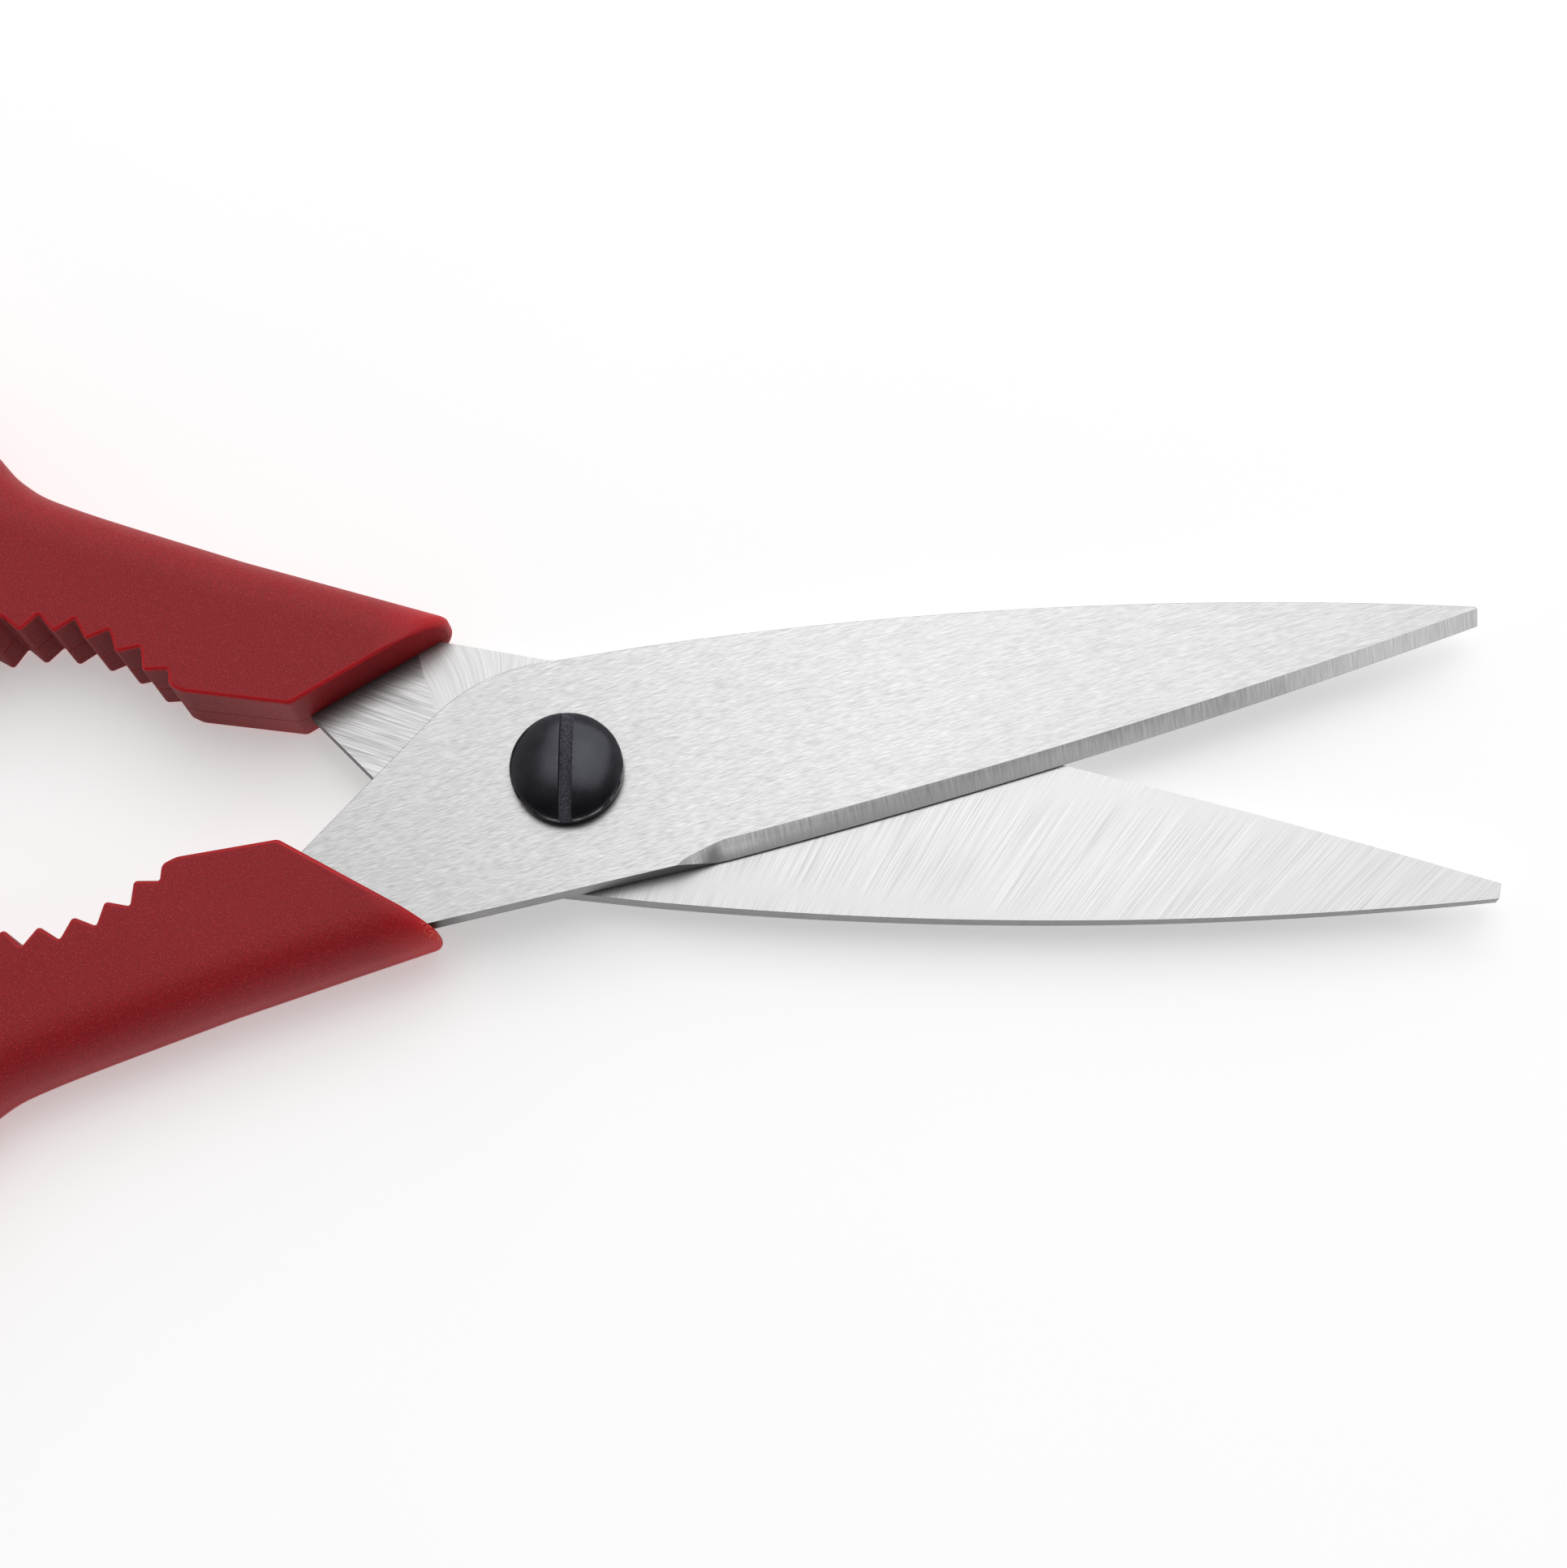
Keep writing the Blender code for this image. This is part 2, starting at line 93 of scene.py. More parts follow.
# Pivot
BUSH_RADIUS = 3.5
HEAD_RADIUS = 5.65
HEAD_UNDER_Z = 8.35
HEAD_RIM_Z = 9.1
HEAD_TOP_Z = 10.6
HEAD_FULLNESS = 1.15
SHANK_RADIUS = 2.3
SHANK_END_Z = 1.6
SHANK_CHAMFER = 0.3
HEAD_CHAMFER = 0.2
BUSH_GAP = 0.05                   # between the screw's bush and the middle of the shears
DOME_STEPS = 24
SLOT_WIDTH = 1.35
SLOT_FLOOR_Z = 9.0
SLOT_TURN = math.radians(-1.4)
WORN_EDGE = 0.05
WORN_ANGLE = math.radians(50)
HEAD_WASHER_RADIUS = 5.3
HEAD_WASHER_Z = (7.85, 8.15)
WASHER_CHAMFER = 0.05
NUT_RADIUS = 6.0
NUT_FLANGE_T = 0.9
NUT_CHAMFER = 0.3
NUT_BORE_RADIUS = 2.6
NUT_FLANGE_SOFT = 0.08
NUT_TOP_GAP = 0.25
NUT_BORE_FLOOR = 0.3              # height of the bore's floor above the flange
WAVE_WASHER_RADIUS = 5.6
WAVE_WASHER_T = 0.4
WAVE_WASHER_Z = 1.225
WAVE_HEIGHT = 0.07
ROUND_STEPS = 128

# Handle
PLASTIC_SHARP = 40
EDGE_ROUND = 0.4
WIDE_ROUND = 1.0                  # roundings above this flow softly into the flat face
SOFT_REACH = 1.12
SOFT_POWER = 2.6
FLAT_Y = -2.65
FLAT = [(-5.0, FLAT_Y, 0), (-38.9, FLAT_Y, 2.5), (-40.4, -3.15, 0.9)]  # with each corner's rounding
SHOULDER = (-22.8, -7.5)
SHOULDER_ANGLE = math.radians(-38.7)
SHOULDER_ROUND = 0.45
NOSE_ROUND = 0.8
NOSE_FADE = 12                    # steps from the nose to where the edge has its full colour
REAR_REACH = 0.5                  # the rear handle's wall stands this much nearer to the pivot
FRONT_CRISP = 0.3                 # the front handle's toothed edge gets less of the painted glow and the smoother finish than the rear one's
BROW_ROUND = 1.0                  # where the flat meets the slanting end wall
NOSE_STEPS = 8
BROW_STEPS = 6
END_WALL_STEPS = 12
NOSE_SIDE_STEPS = 22
JAW_CENTRE = (-53.1, 11.0)
JAW_TIP_RADIUS = 18.2
JAW_ROOT_RADIUS = 20.0
TOOTH_PITCH = math.radians(10.7)
TOOTH_FIRST = math.radians(0.6)
TOOTH_RANGE = range(3, -4, -1)
TIP_ROUND = 0.45
ROOT_ROUND = 0.25
JAW_CORNER_STEPS = 5
OUTER_START = (-5.0, -13.2, 4.6)   # with the rounding of the edge, as in the points of the loop
OUTER_STEPS = 24
LOOP_STEPS = 9
LOOP_OUTSIDE = [
    (-36.0, -18.3, 5.2), (-54.0, -21.9, 5.4), (-60.0, -23.95, 5.4), (-64.6, -27.6, 5.0),
    (-70.8, -33.3, 4.4), (-79.0, -38.1, 4.0), (-89.0, -40.1, 4.0), (-99.5, -38.2, 4.0),
    (-108.5, -32.2, 4.0), (-113.8, -23.6, 4.0), (-114.6, -14.6, 4.0), (-110.4, -7.2, 3.8),
    (-102.5, -3.0, 3.2), (-92.0, -1.5, 2.4), (-82.0, -0.5, 1.2),
]
LOOP_HOLE = [
    (-69.0, -17.5), (-71.0, -12.4), (-77.5, -9.6), (-86.0, -8.9), (-95.0, -9.4),
    (-103.2, -11.8), (-107.0, -17.6), (-105.8, -24.6), (-99.6, -30.4), (-89.5, -32.4),
    (-80.0, -30.4), (-72.6, -25.2),
]
HOLE_ROUND = 3.3
STOP_X = (-79.0, -69.0)
STOP_Y = -0.35
JAW_END = (-66.6, -2.65)
JAW_END_ROUND = 1.5
STOP_ROUND = (0.8, 1.5)           # of the stop's front and rear corners
STOP_EDGE_EXTRA = 0.2             # its rear corner's edge is rounder than the rest
POCKET_GAP = 0.02                 # the plastic is moulded tight round the tang
POCKET_MOUTH = (9.2, -11.5)
KEY_STEPS = 32
KEY_ROOT = 1.5                    # how far the key goes into the plastic at both ends
SEAM_HALF = 0.07                  # half the height of the mould's parting line
SEAM_DEPTH = 0.07
SEAM_FLOOR = 0.4                  # share of its height that has the full depth
DROPS = [0.0, 0.01, 0.04, 0.09, 0.16, 0.25, 0.4, 0.65, 1.0, 1.4, 1.9, 2.5, 3.2, 4.0]

# Steel: strokes as (direction in degrees, length, width, detail), shades as (dark, light),
# roughness as (smoothest, roughest), grains and clouds per metre
STREAK_LEVELS = 300.0             # strokes change this little over the height of a side
FINE_RELIEF = 0.0012
TURNED_RELIEF = 0.004
OUTER_FINE = (3.6, 0.9, 0.045, 1.0)
OUTER_LONG = (7.6, 2.0, 0.06, 1.0)
OUTER_CONTRAST = (3.8, 2.5)       # of the strokes, at the pivot and from the next x on
OUTER_CALM_X = 40.0
OUTER_CLOUD = 45.0
OUTER_SHADES = (0.34, 0.52)
OUTER_ROUGH = (0.30, 0.38)
TANG_FINE = (10.0, 4.0, 0.09, 2.0)
TANG_WIDE = (12.0, 8.0, 0.22, 1.0)
TANG_PAINTED_SHADE = 3.4                  # how far from the plastic the painted shade reaches, on the tang's brushed end and beside it
TANG_PAINTED_SHADE_NARROW = 1.3           # tang's brushed end and beside it
FAN_LINES = ((7.0, 0.04), (14.0, 0.06))     # length and width
FAN_LEVEL = -5.0                  # the grinding lines cross this level at their own x, lean back
FAN_LEAN = 0.15                   # by this much there, and by more further towards the tip
FAN_SPREAD = 7.3
FAN_BACK = (-6.0, -8.0)           # behind this x they turn the other way about this level
FAN_BACK_TURN = 75.0
FAN_BORDER = (-17.26, -11.01)     # a point of the line that they end at, and its lean
FAN_BORDER_LEAN = 0.475
INNER_SHADES = (0.09, 0.56)
INNER_ROUGH = (0.34, 0.40)
BEVEL_FINE = (98.0, 2.5, 0.07, 2.0)
BEVEL_WIDE = (95.0, 4.0, 0.25, 2.0)
# painted reflection towards the tip, and painted light low down nearer the heel
BEVEL_PAINTED_REFLECTION_X = (66.0, 84.0)
BEVEL_PAINTED_LIGHT_X = (70.0, 50.0)
BEVEL_PAINTED_LIGHT_Z = (1.9, 0.2)
BEVEL_SHADES = (0.33, 0.80)
BEVEL_ROUGH = (0.20, 0.28)
SIDE_FINE = (3.0, 2.0, 0.15, 2.0)
SIDE_GRAIN = (500.0, 500.0, 6000.0)
SIDE_PAINTED_SHADE_X = (-15.0, -12.0)
SIDE_SHADES = (0.08, 0.38)
SIDE_ROUGH = (0.38, 0.48)
SIDE_GLANCE = 0.9                 # how bright they are when seen nearly along them
RING_WIDTH = 0.1
PLATED_CLOUD = 300.0
PLATED_SHADES = (0.42, 0.60)
PLATED_ROUGH = (0.28, 0.38)
BLACK_CLOUD = 700.0
BLACK_GRAIN = 5200.0
BLACK_ROUGH = (0.21, 0.29)
BLACK_SHADES = ((0.019, 0.019, 0.024, 1), (0.060, 0.060, 0.072, 1))
SLOT_SHADES = ((0.024, 0.024, 0.030, 1), (0.110, 0.110, 0.134, 1))
SLOT_FLOOR_X = (0.70, 0.66)       # from the slot's wall to just inside it
# painted highlight on the rim of the screw's head
RIM_HIGHLIGHT_STEEL = (0.42, 0.42, 0.43, 1)

# Plastic, its grains and clouds per metre
PLASTIC_GRAIN = 7000.0
PLASTIC_COARSE = 2500.0
PLASTIC_CLOUD = 60.0
PLASTIC_UNEVEN = (0.65, 1.3)      # from the darkest to the lightest of the grain
PLASTIC_RELIEF = 0.034
PLASTIC_ROUGH = (0.56, 0.45)      # on the faces, and on the narrow roundings
PLASTIC_DARK = (0.340, 0.0060, 0.0120, 1)
PLASTIC_LIGHT = (0.385, 0.0080, 0.0150, 1)
# painted glow: the brighter red that the narrow roundings and the nose show in the light
PLASTIC_PAINTED_GLOW = (0.58, 0.0040, 0.0110, 1)
# painted glints: light specks standing in for the grain's glints
PLASTIC_PAINTED_GLINT = (0.62, 0.14, 0.12, 1)
PLASTIC_CRUMB = (0.85, 0.17, 0.09, 1)
DOT_GRAIN = 3600.0
PAINTED_GLINT_SHARE = 0.4
WALL_PAINTED_SHADE = 0.62                 # painted shade: brightness of the toothed side's walls, which face away from the light
END_PAINTED_GLOW_X = (-21.0, -14.0)        # painted glow: towards its end the handle gets as bright a red as its edges
TANG_EXIT = (-15.5, -12.8, 2.8)
CRUMB_GRAIN = 3600.0
CRUMB_REACH = (2.2, 1.2)

# Camera and light, in metres
CAMERA_PLACE = (0.02386, -0.07824, 0.2748)
CAMERA_RIGHT = (0.99957, -0.02443, -0.01603)
CAMERA_UP = (0.02789, 0.96126, 0.27424)
CAMERA_BACK = (0.00871, -0.27457, 0.96153)
CAMERA_LENS = 64.32
CAMERA_SENSOR = 36.0
CAMERA_NEAR = 0.01
FLOOR_HALF = 3000                 # the floor's half width and height, in millimetres
FLOOR_Z = -0.05
FLOOR_CLOUD = 30.0
FLOOR_SHADES = (0.86, 0.88)
FLOOR_GLOW = 0.4
# direction from the object, distance, width, height, brightness
SOFTBOXES = [((0.12, 0.47, 0.87), 1.2, 1.1, 1.25, 1.6),
             ((0.10, 0.32, 0.94), 1.15, 0.35, 0.35, 0.7)]
# share of the way from the horizon to straight up, brightness there
ROOM_GLOW = [(0.0, 0.75), (1.0, 0.3), (0.25, 0.8), (0.5, 0.65), (0.75, 0.4)]
ROOM_FRONT_SHADE = 0.85           # how much of it the dark front side of the room takes away
ROOM_FRONT_Y = (0.1, -0.3)
ROOM_FRONT_Z = (0.15, 0.45)


# -------- curves

def circle_centre(start, end, radius):
    """Centre of the arc from start to end that bulges to the right of the way along it."""
    a = Vector(start)
    b = Vector(end)
    chord = b - a
    left = Vector((-chord.y, chord.x)).normalized()
    depth = math.sqrt(radius ** 2 - (chord.length / 2) ** 2)
    return (a + b) / 2 + left * depth


def arc(start, end, radius, steps):
    """Points on an arc that bulges to the right of the way from start to end, both ends in."""
    centre = circle_centre(start, end, radius)
    first = Vector(start) - centre
    sweep = first.angle_signed(Vector(end) - centre)
    points = []
    for step in range(steps + 1):
        angle = math.atan2(first.y, first.x) - sweep * step / steps
        points.append((centre.x + radius * math.cos(angle), centre.y + radius * math.sin(angle)))
    return points


def smooth(points, steps, closed=False):
    """A Catmull-Rom curve through points of any number of coordinates."""
    count = len(points)
    spans = count if closed else count - 1
    knots = [Vector(p) for p in points]
    curve = []
    for span in range(spans):
        p1 = knots[span]
        p2 = knots[(span + 1) % count]
        p0 = knots[span - 1] if closed or span > 0 else p1 * 2 - p2
        p3 = knots[(span + 2) % count] if closed or span + 2 < count else p2 * 2 - p1
        for step in range(steps):
            t = step / steps
            near = p1 * 2 + (p2 - p0) * t
            bend = (p0 * 2 - p1 * 5 + p2 * 4 - p3) * t ** 2
            twist = (p1 * 3 - p0 - p2 * 3 + p3) * t ** 3
            curve.append(tuple((near + bend + twist) / 2))
    if not closed:
        curve.append(tuple(knots[-1]))
    return curve


def offset_point(before, point, after, distance):
    """The corner of a loop after its sides have moved to the left by the distance."""
    a = (Vector(point) - Vector(before)).normalized()
    b = (Vector(after) - Vector(point)).normalized()
    left = Vector((-a.y - b.y, a.x + b.x)).normalized()
    half = max(0.35, left.dot(Vector((-a.y, a.x))))
    return Vector(point) + left * (distance / half)


def rounded_corner(before, corner, after, radius, steps):
    """The arc that rounds a corner, from the side towards before to the side towards after."""
    a = Vector(before) - Vector(corner)
    b = Vector(after) - Vector(corner)
    half = a.angle(b) / 2
    reach = min(radius / math.tan(half), 0.48 * a.length, 0.48 * b.length)
    radius = reach * math.tan(half)
    a.normalize()
    b.normalize()
    centre = Vector(corner) + (a + b).normalized() * (radius / math.sin(half))
    first = Vector(corner) + a * reach - centre
    last = Vector(corner) + b * reach - centre
    sweep = -first.angle_signed(last)
    points = []
    for step in range(steps + 1):
        turn = Matrix.Rotation(sweep * step / steps, 2)
        points.append(centre + turn @ first)
    return points


def along(points, count):
    """Points at even steps along a line of points, both ends in."""
    lengths = [0.0]
    for a, b in zip(points, points[1:]):
        lengths.append(lengths[-1] + (b - a).length)
    result = []
    span = 0
    for step in range(count + 1):
        target = lengths[-1] * step / count
        while span < len(points) - 2 and lengths[span + 1] < target:
            span += 1
        share = (target - lengths[span]) / max(1e-9, lengths[span + 1] - lengths[span])
        result.append(points[span].lerp(points[span + 1], min(1.0, share)))
    return result


# -------- objects

def half_matrix(height, turn_over, swing):
    """The frame that one half is drawn in."""
    place = Matrix.Translation((0, 0, height * MM))
    turn = Matrix.Rotation(swing, 4, "Z")
    over = Matrix.Rotation(math.pi if turn_over else 0, 4, "X")
    return place @ turn @ over


FRONT = half_matrix(SPLIT_Z + FACE_GAP / 2, False, HALF_OPEN)
REAR = half_matrix(SPLIT_Z - FACE_GAP / 2, True, -HALF_OPEN)
UPRIGHT = Matrix.Identity(4)


def mesh_object(name, bm, matrix, materials=(), sharp_angle=30):
    """An object from a mesh drawn in millimetres."""
    bmesh.ops.scale(bm, vec=(MM, MM, MM), verts=bm.verts)
    bmesh.ops.recalc_face_normals(bm, faces=bm.faces)
    mesh = bpy.data.meshes.new(name)
    bm.to_mesh(mesh)
    bm.free()
    for material in materials:
        mesh.materials.append(material)
    mesh.shade_smooth()
    mesh.set_sharp_from_angle(angle=math.radians(sharp_angle))
    obj = bpy.data.objects.new(name, mesh)
    bpy.context.scene.collection.objects.link(obj)
    obj.matrix_world = matrix
    return obj


def boolean(obj, cutter, operation):
    """A boolean modifier with a cutter that is taken away later."""
    modifier = obj.modifiers.new(cutter.name, "BOOLEAN")
    modifier.operation = operation
    modifier.solver = "EXACT"
    modifier.object = cutter


def settle(obj, cutters, sharp_angle=30):
    """Make the modifiers' result the object's own mesh and remove the cutters."""
    bpy.context.view_layer.update()
    evaluated = obj.evaluated_get(bpy.context.evaluated_depsgraph_get())
    mesh = bpy.data.meshes.new_from_object(evaluated)
    mesh.name = obj.name
    obj.modifiers.clear()
    obj.data = mesh
    mesh.shade_smooth()
    mesh.set_sharp_from_angle(angle=math.radians(sharp_angle))
    for cutter in cutters:
        bpy.data.objects.remove(cutter, do_unlink=True)


def prism(outline, low, high):
    """A closed prism over an outline."""
    bm = bmesh.new()
    face = bm.faces.new([bm.verts.new((x, y, low)) for x, y in outline])
    side = bmesh.ops.extrude_face_region(bm, geom=[face])["geom"]
    moved = [item for item in side if isinstance(item, bmesh.types.BMVert)]
    bmesh.ops.translate(bm, vec=(0, 0, high - low), verts=moved)
    return bm


def cylinder(centre, radius, low, high, steps=ROUND_STEPS):
    """A closed round bar along Z."""
    turns = [math.tau * step / steps for step in range(steps)]
    ring = [(centre[0] + radius * math.cos(t), centre[1] + radius * math.sin(t)) for t in turns]
    return prism(ring, low, high)


def turned(profile):
    """A shape turned about Z from a profile of (radius, height) points."""
    bm = bmesh.new()
    verts = [bm.verts.new((radius, 0, height)) for radius, height in profile]
    edges = [bm.edges.new(pair) for pair in zip(verts, verts[1:])]
    if profile[0][0] > 0:
        edges.append(bm.edges.new((verts[-1], verts[0])))
    bmesh.ops.spin(bm, geom=verts + edges, axis=(0, 0, 1), cent=(0, 0, 0), dvec=(0, 0, 0),
                   angle=math.tau, steps=ROUND_STEPS, use_merge=True, use_duplicate=False)
    bmesh.ops.remove_doubles(bm, verts=bm.verts, dist=0.001)
    return bm


def finish_piece(obj, body, nodes):
    """Move a piece's mesh into the part's frame and fix it to its body, in place of the nodes.

    The attribute "own" keeps each point's place in the half frame, for the materials.
    """
    mesh = obj.data
    own = mesh.attributes.new("own", "FLOAT_VECTOR", "POINT")
    flat = [0.0] * (3 * len(mesh.vertices))
    mesh.vertices.foreach_get("co", flat)
    own.data.foreach_set("vector", flat)
    mesh.transform(obj.matrix_world)
    obj.matrix_world = Matrix.Identity(4)
    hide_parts(*nodes)
    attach(obj, body)


# -------- node helpers

def add(tree, kind, inputs=None, **settings):
    """A shader node with its settings and its inputs, each a value or another node's output."""
    node = tree.nodes.new("ShaderNode" + kind)
    for key, value in settings.items():
        setattr(node, key, value)
    for key, value in (inputs or {}).items():
        if isinstance(value, bpy.types.NodeSocket):
            tree.links.new(value, node.inputs[key])
        else:
            node.inputs[key].default_value = value
    return node


def calc(tree, operation, a, b=0.0, c=0.0):
    """A sum on numbers or sockets."""
    return add(tree, "Math", {0: a, 1: b, 2: c}, operation=operation).outputs[0]


def ramp(tree, value, low, high, out_low=0.0, out_high=1.0):
    """A value taken from one range to another, held at its ends."""
    node = add(tree, "MapRange", {"Value": value, "From Min": low, "From Max": high,
                                  "To Min": out_low, "To Max": out_high})
    return node.outputs[0]


def ramp_mm(tree, value, ends, out_low=0.0, out_high=1.0):
    """A ramp between two lengths in millimetres."""
    return ramp(tree, value, ends[0] * MM, ends[1] * MM, out_low, out_high)


def blend(tree, share, a, b):
    """A number between two numbers."""
    return add(tree, "Mix", {0: share, 2: a, 3: b}).outputs[0]


def mix_colour(tree, share, a, b):
    """A colour between two colours."""
    return add(tree, "Mix", {0: share, 6: a, 7: b}, data_type="RGBA").outputs[2]


def tone(tree, shade):
    """A grey of a brightness that is worked out by nodes."""
    return add(tree, "CombineColor", {0: shade, 1: shade, 2: shade}).outputs[0]


def grey(value):
    """A grey colour."""
    return (value, value, value, 1.0)


def parts_of(tree, vector):
    """The three parts of a vector."""
    return add(tree, "SeparateXYZ", {0: vector}).outputs


def past_line(tree, place, point, way):
    """How far a place lies past a point, measured along a way in the XY plane."""
    start = (point[0] * MM, point[1] * MM, 0)
    away = add(tree, "VectorMath", {0: place, 1: start}, operation="SUBTRACT").outputs[0]
    dot = add(tree, "VectorMath", {0: away, 1: (*way, 0)}, operation="DOT_PRODUCT")
    return dot.outputs["Value"]


def new_material(name):
    """An empty node material: its tree, its shader and its position socket."""
    material = bpy.data.materials.new(name)
    material.use_nodes = True
    tree = material.node_tree
    shader = tree.nodes["Principled BSDF"]
    place = add(tree, "Attribute", attribute_name="own").outputs["Vector"]
    return material, tree, shader, place


def noise(tree, place, scale, detail=2.0, roughness=0.5):
    """Noise from 0 to 1, its grain 1 / scale."""
    node = add(tree, "TexNoise", {"Vector": place, "Scale": scale, "Detail": detail,
                                  "Roughness": roughness})
    return node.outputs["Fac"]


def streaks(tree, place, angle, length, width, detail):
    """Noise drawn out along a direction in the XY plane, its length and width in millimetres."""
    turned_place = add(tree, "Mapping", {"Vector": place, "Rotation": (0, 0, -math.radians(angle))})
    drawn = add(tree, "Mapping", {"Vector": turned_place.outputs[0],
                                  "Scale": (1 / (length * MM), 1 / (width * MM), STREAK_LEVELS)})
    return noise(tree, drawn.outputs[0], 1.0, detail)


# -------- materials

def steel_shader(tree, shader, lit, height, shades, rough, depth):
    """Bare steel whose brushing sets its brightness, gloss and fine relief."""
    colour = mix_colour(tree, lit, grey(shades[0]), grey(shades[1]))
    tree.links.new(colour, shader.inputs["Base Color"])
    shader.inputs["Metallic"].default_value = 1.0
    tree.links.new(ramp(tree, height, 0.2, 0.8, rough[1], rough[0]), shader.inputs["Roughness"])
    bump = add(tree, "Bump", {"Height": height, "Strength": 1.0, "Distance": depth * MM})
    tree.links.new(bump.outputs[0], shader.inputs["Normal"])


def brushed_steel():
    """Outer faces: short brush strokes nearly along the blade, plainer further from the pivot."""
    material, tree, shader, place = new_material("brushed_steel")
    height = blend(tree, 0.45, streaks(tree, place, *OUTER_FINE), streaks(tree, place, *OUTER_LONG))
    contrast = ramp_mm(tree, parts_of(tree, place)[0], (0.0, OUTER_CALM_X), *OUTER_CONTRAST)
    stroke = calc(tree, "MULTIPLY", calc(tree, "SUBTRACT", height, 0.5), contrast)
    cloud = noise(tree, place, OUTER_CLOUD, 1.0)
    lit = calc(tree, "ADD", calc(tree, "MULTIPLY_ADD", cloud, 0.2, 0.4), stroke)
    steel_shader(tree, shader, lit, height, OUTER_SHADES, OUTER_ROUGH, FINE_RELIEF)
    return material


def wheel_lines(tree, x, y):
    """Straight grinding lines that lean back more and more towards the tip."""
    rise = calc(tree, "SUBTRACT", y, FAN_LEVEL * MM)
    foot = calc(tree, "DIVIDE", calc(tree, "MULTIPLY_ADD", rise, FAN_LEAN, x),
                calc(tree, "MULTIPLY_ADD", rise, -FAN_SPREAD, 1.0))
    behind = calc(tree, "MAXIMUM", calc(tree, "SUBTRACT", FAN_BACK[0] * MM, x), 0.0)
    lean = calc(tree, "MULTIPLY", calc(tree, "SUBTRACT", y, FAN_BACK[1] * MM),
                calc(tree, "MULTIPLY", behind, FAN_BACK_TURN))
    across = calc(tree, "SUBTRACT", lean, foot)
    layers = []
    for length, width in FAN_LINES:
        flat = add(tree, "CombineXYZ", {0: calc(tree, "DIVIDE", across, width * MM),
                                        1: calc(tree, "DIVIDE", rise, length * MM)})
        layers.append(noise(tree, flat.outputs[0], 1.0, 1.0))
    return blend(tree, 0.4, *layers)


def ground_steel():
    """Inner faces: grinding lines, straight brushing on the tang, painted shade beside the plastic."""
    material, tree, shader, place = new_material("ground_steel")
    x, y, _ = parts_of(tree, place)
    border = past_line(tree, place, FAN_BORDER, (1, -FAN_BORDER_LEAN))
    zone = ramp_mm(tree, border, (-0.1, 0.1))
    brushed = blend(tree, 0.5, streaks(tree, place, *TANG_FINE), streaks(tree, place, *TANG_WIDE))
    height = blend(tree, zone, brushed, wheel_lines(tree, x, y))
    lit = calc(tree, "MULTIPLY_ADD", height, blend(tree, zone, 2.2, 1.8), blend(tree, zone, -0.3, -0.01))
    # painted shade: darker near the handle's end wall, for the shadow that the wall casts on the tang
    wall_way = (-math.sin(SHOULDER_ANGLE), math.cos(SHOULDER_ANGLE))
    reach = blend(tree, zone, TANG_PAINTED_SHADE * MM, TANG_PAINTED_SHADE_NARROW * MM)
    away = calc(tree, "DIVIDE", past_line(tree, place, SHOULDER, wall_way), reach)
    lit = calc(tree, "MULTIPLY", lit, ramp(tree, away, 0.0, 1.0))
    steel_shader(tree, shader, lit, height, INNER_SHADES, INNER_ROUGH, FINE_RELIEF)
    return material


def bevel_steel():
    """The ground bevel: fine lines straight across, painted light low down and a painted reflection
    brightening it towards the tip.
    """
    material, tree, shader, place = new_material("bevel_steel")
    height = blend(tree, 0.45, streaks(tree, place, *BEVEL_FINE), streaks(tree, place, *BEVEL_WIDE))
    x, _, z = parts_of(tree, place)
    # painted reflection: lighter towards the tip; painted light: lighter low down, nearer the heel,
    # against the shade mirrored there from the other blade
    painted_reflection = ramp_mm(tree, x, BEVEL_PAINTED_REFLECTION_X, 0.0, 0.6)
    painted_light = calc(tree, "MULTIPLY", ramp_mm(tree, z, BEVEL_PAINTED_LIGHT_Z, 0.0, 0.8),
                 ramp_mm(tree, x, BEVEL_PAINTED_LIGHT_X))
    lit = calc(tree, "ADD", calc(tree, "MULTIPLY_ADD", height, 1.3, -0.4),
               calc(tree, "ADD", painted_reflection, painted_light))
    steel_shader(tree, shader, lit, height, BEVEL_SHADES, BEVEL_ROUGH, 0.002)
    return material


def edge_steel():
    """Sheared and ground narrow sides, with painted shade where they go into the plastic."""
    material, tree, shader, place = new_material("edge_steel")
    stretched = add(tree, "Mapping", {"Vector": place, "Scale": SIDE_GRAIN}).outputs[0]
    height = blend(tree, 0.7, streaks(tree, place, *SIDE_FINE), noise(tree, stretched, 1.0, 3.0))
    # painted shade: the sides darken towards the plastic, where the handle shades them
    fade = ramp_mm(tree, parts_of(tree, place)[0], SIDE_PAINTED_SHADE_X, 0.1, 1.0)
    lit = calc(tree, "MULTIPLY", calc(tree, "MULTIPLY_ADD", height, 0.64, 0.48), fade)
    steel_shader(tree, shader, lit, height, SIDE_SHADES, SIDE_ROUGH, TURNED_RELIEF)
    shader.inputs["Specular Tint"].default_value = grey(SIDE_GLANCE)
    return material


def crumbs(tree, place):
    """Where crumbs of moulding flash cling to the plastic, round the place that the tang leaves it."""
    exit_place = [part * MM for part in TANG_EXIT]
    away = add(tree, "VectorMath", {0: place, 1: exit_place}, operation="DISTANCE").outputs["Value"]
    crumb = ramp(tree, noise(tree, place, CRUMB_GRAIN, 1.0), 0.5, 0.6)
    return calc(tree, "MULTIPLY", crumb, ramp_mm(tree, away, CRUMB_REACH, 0.0, 0.6))


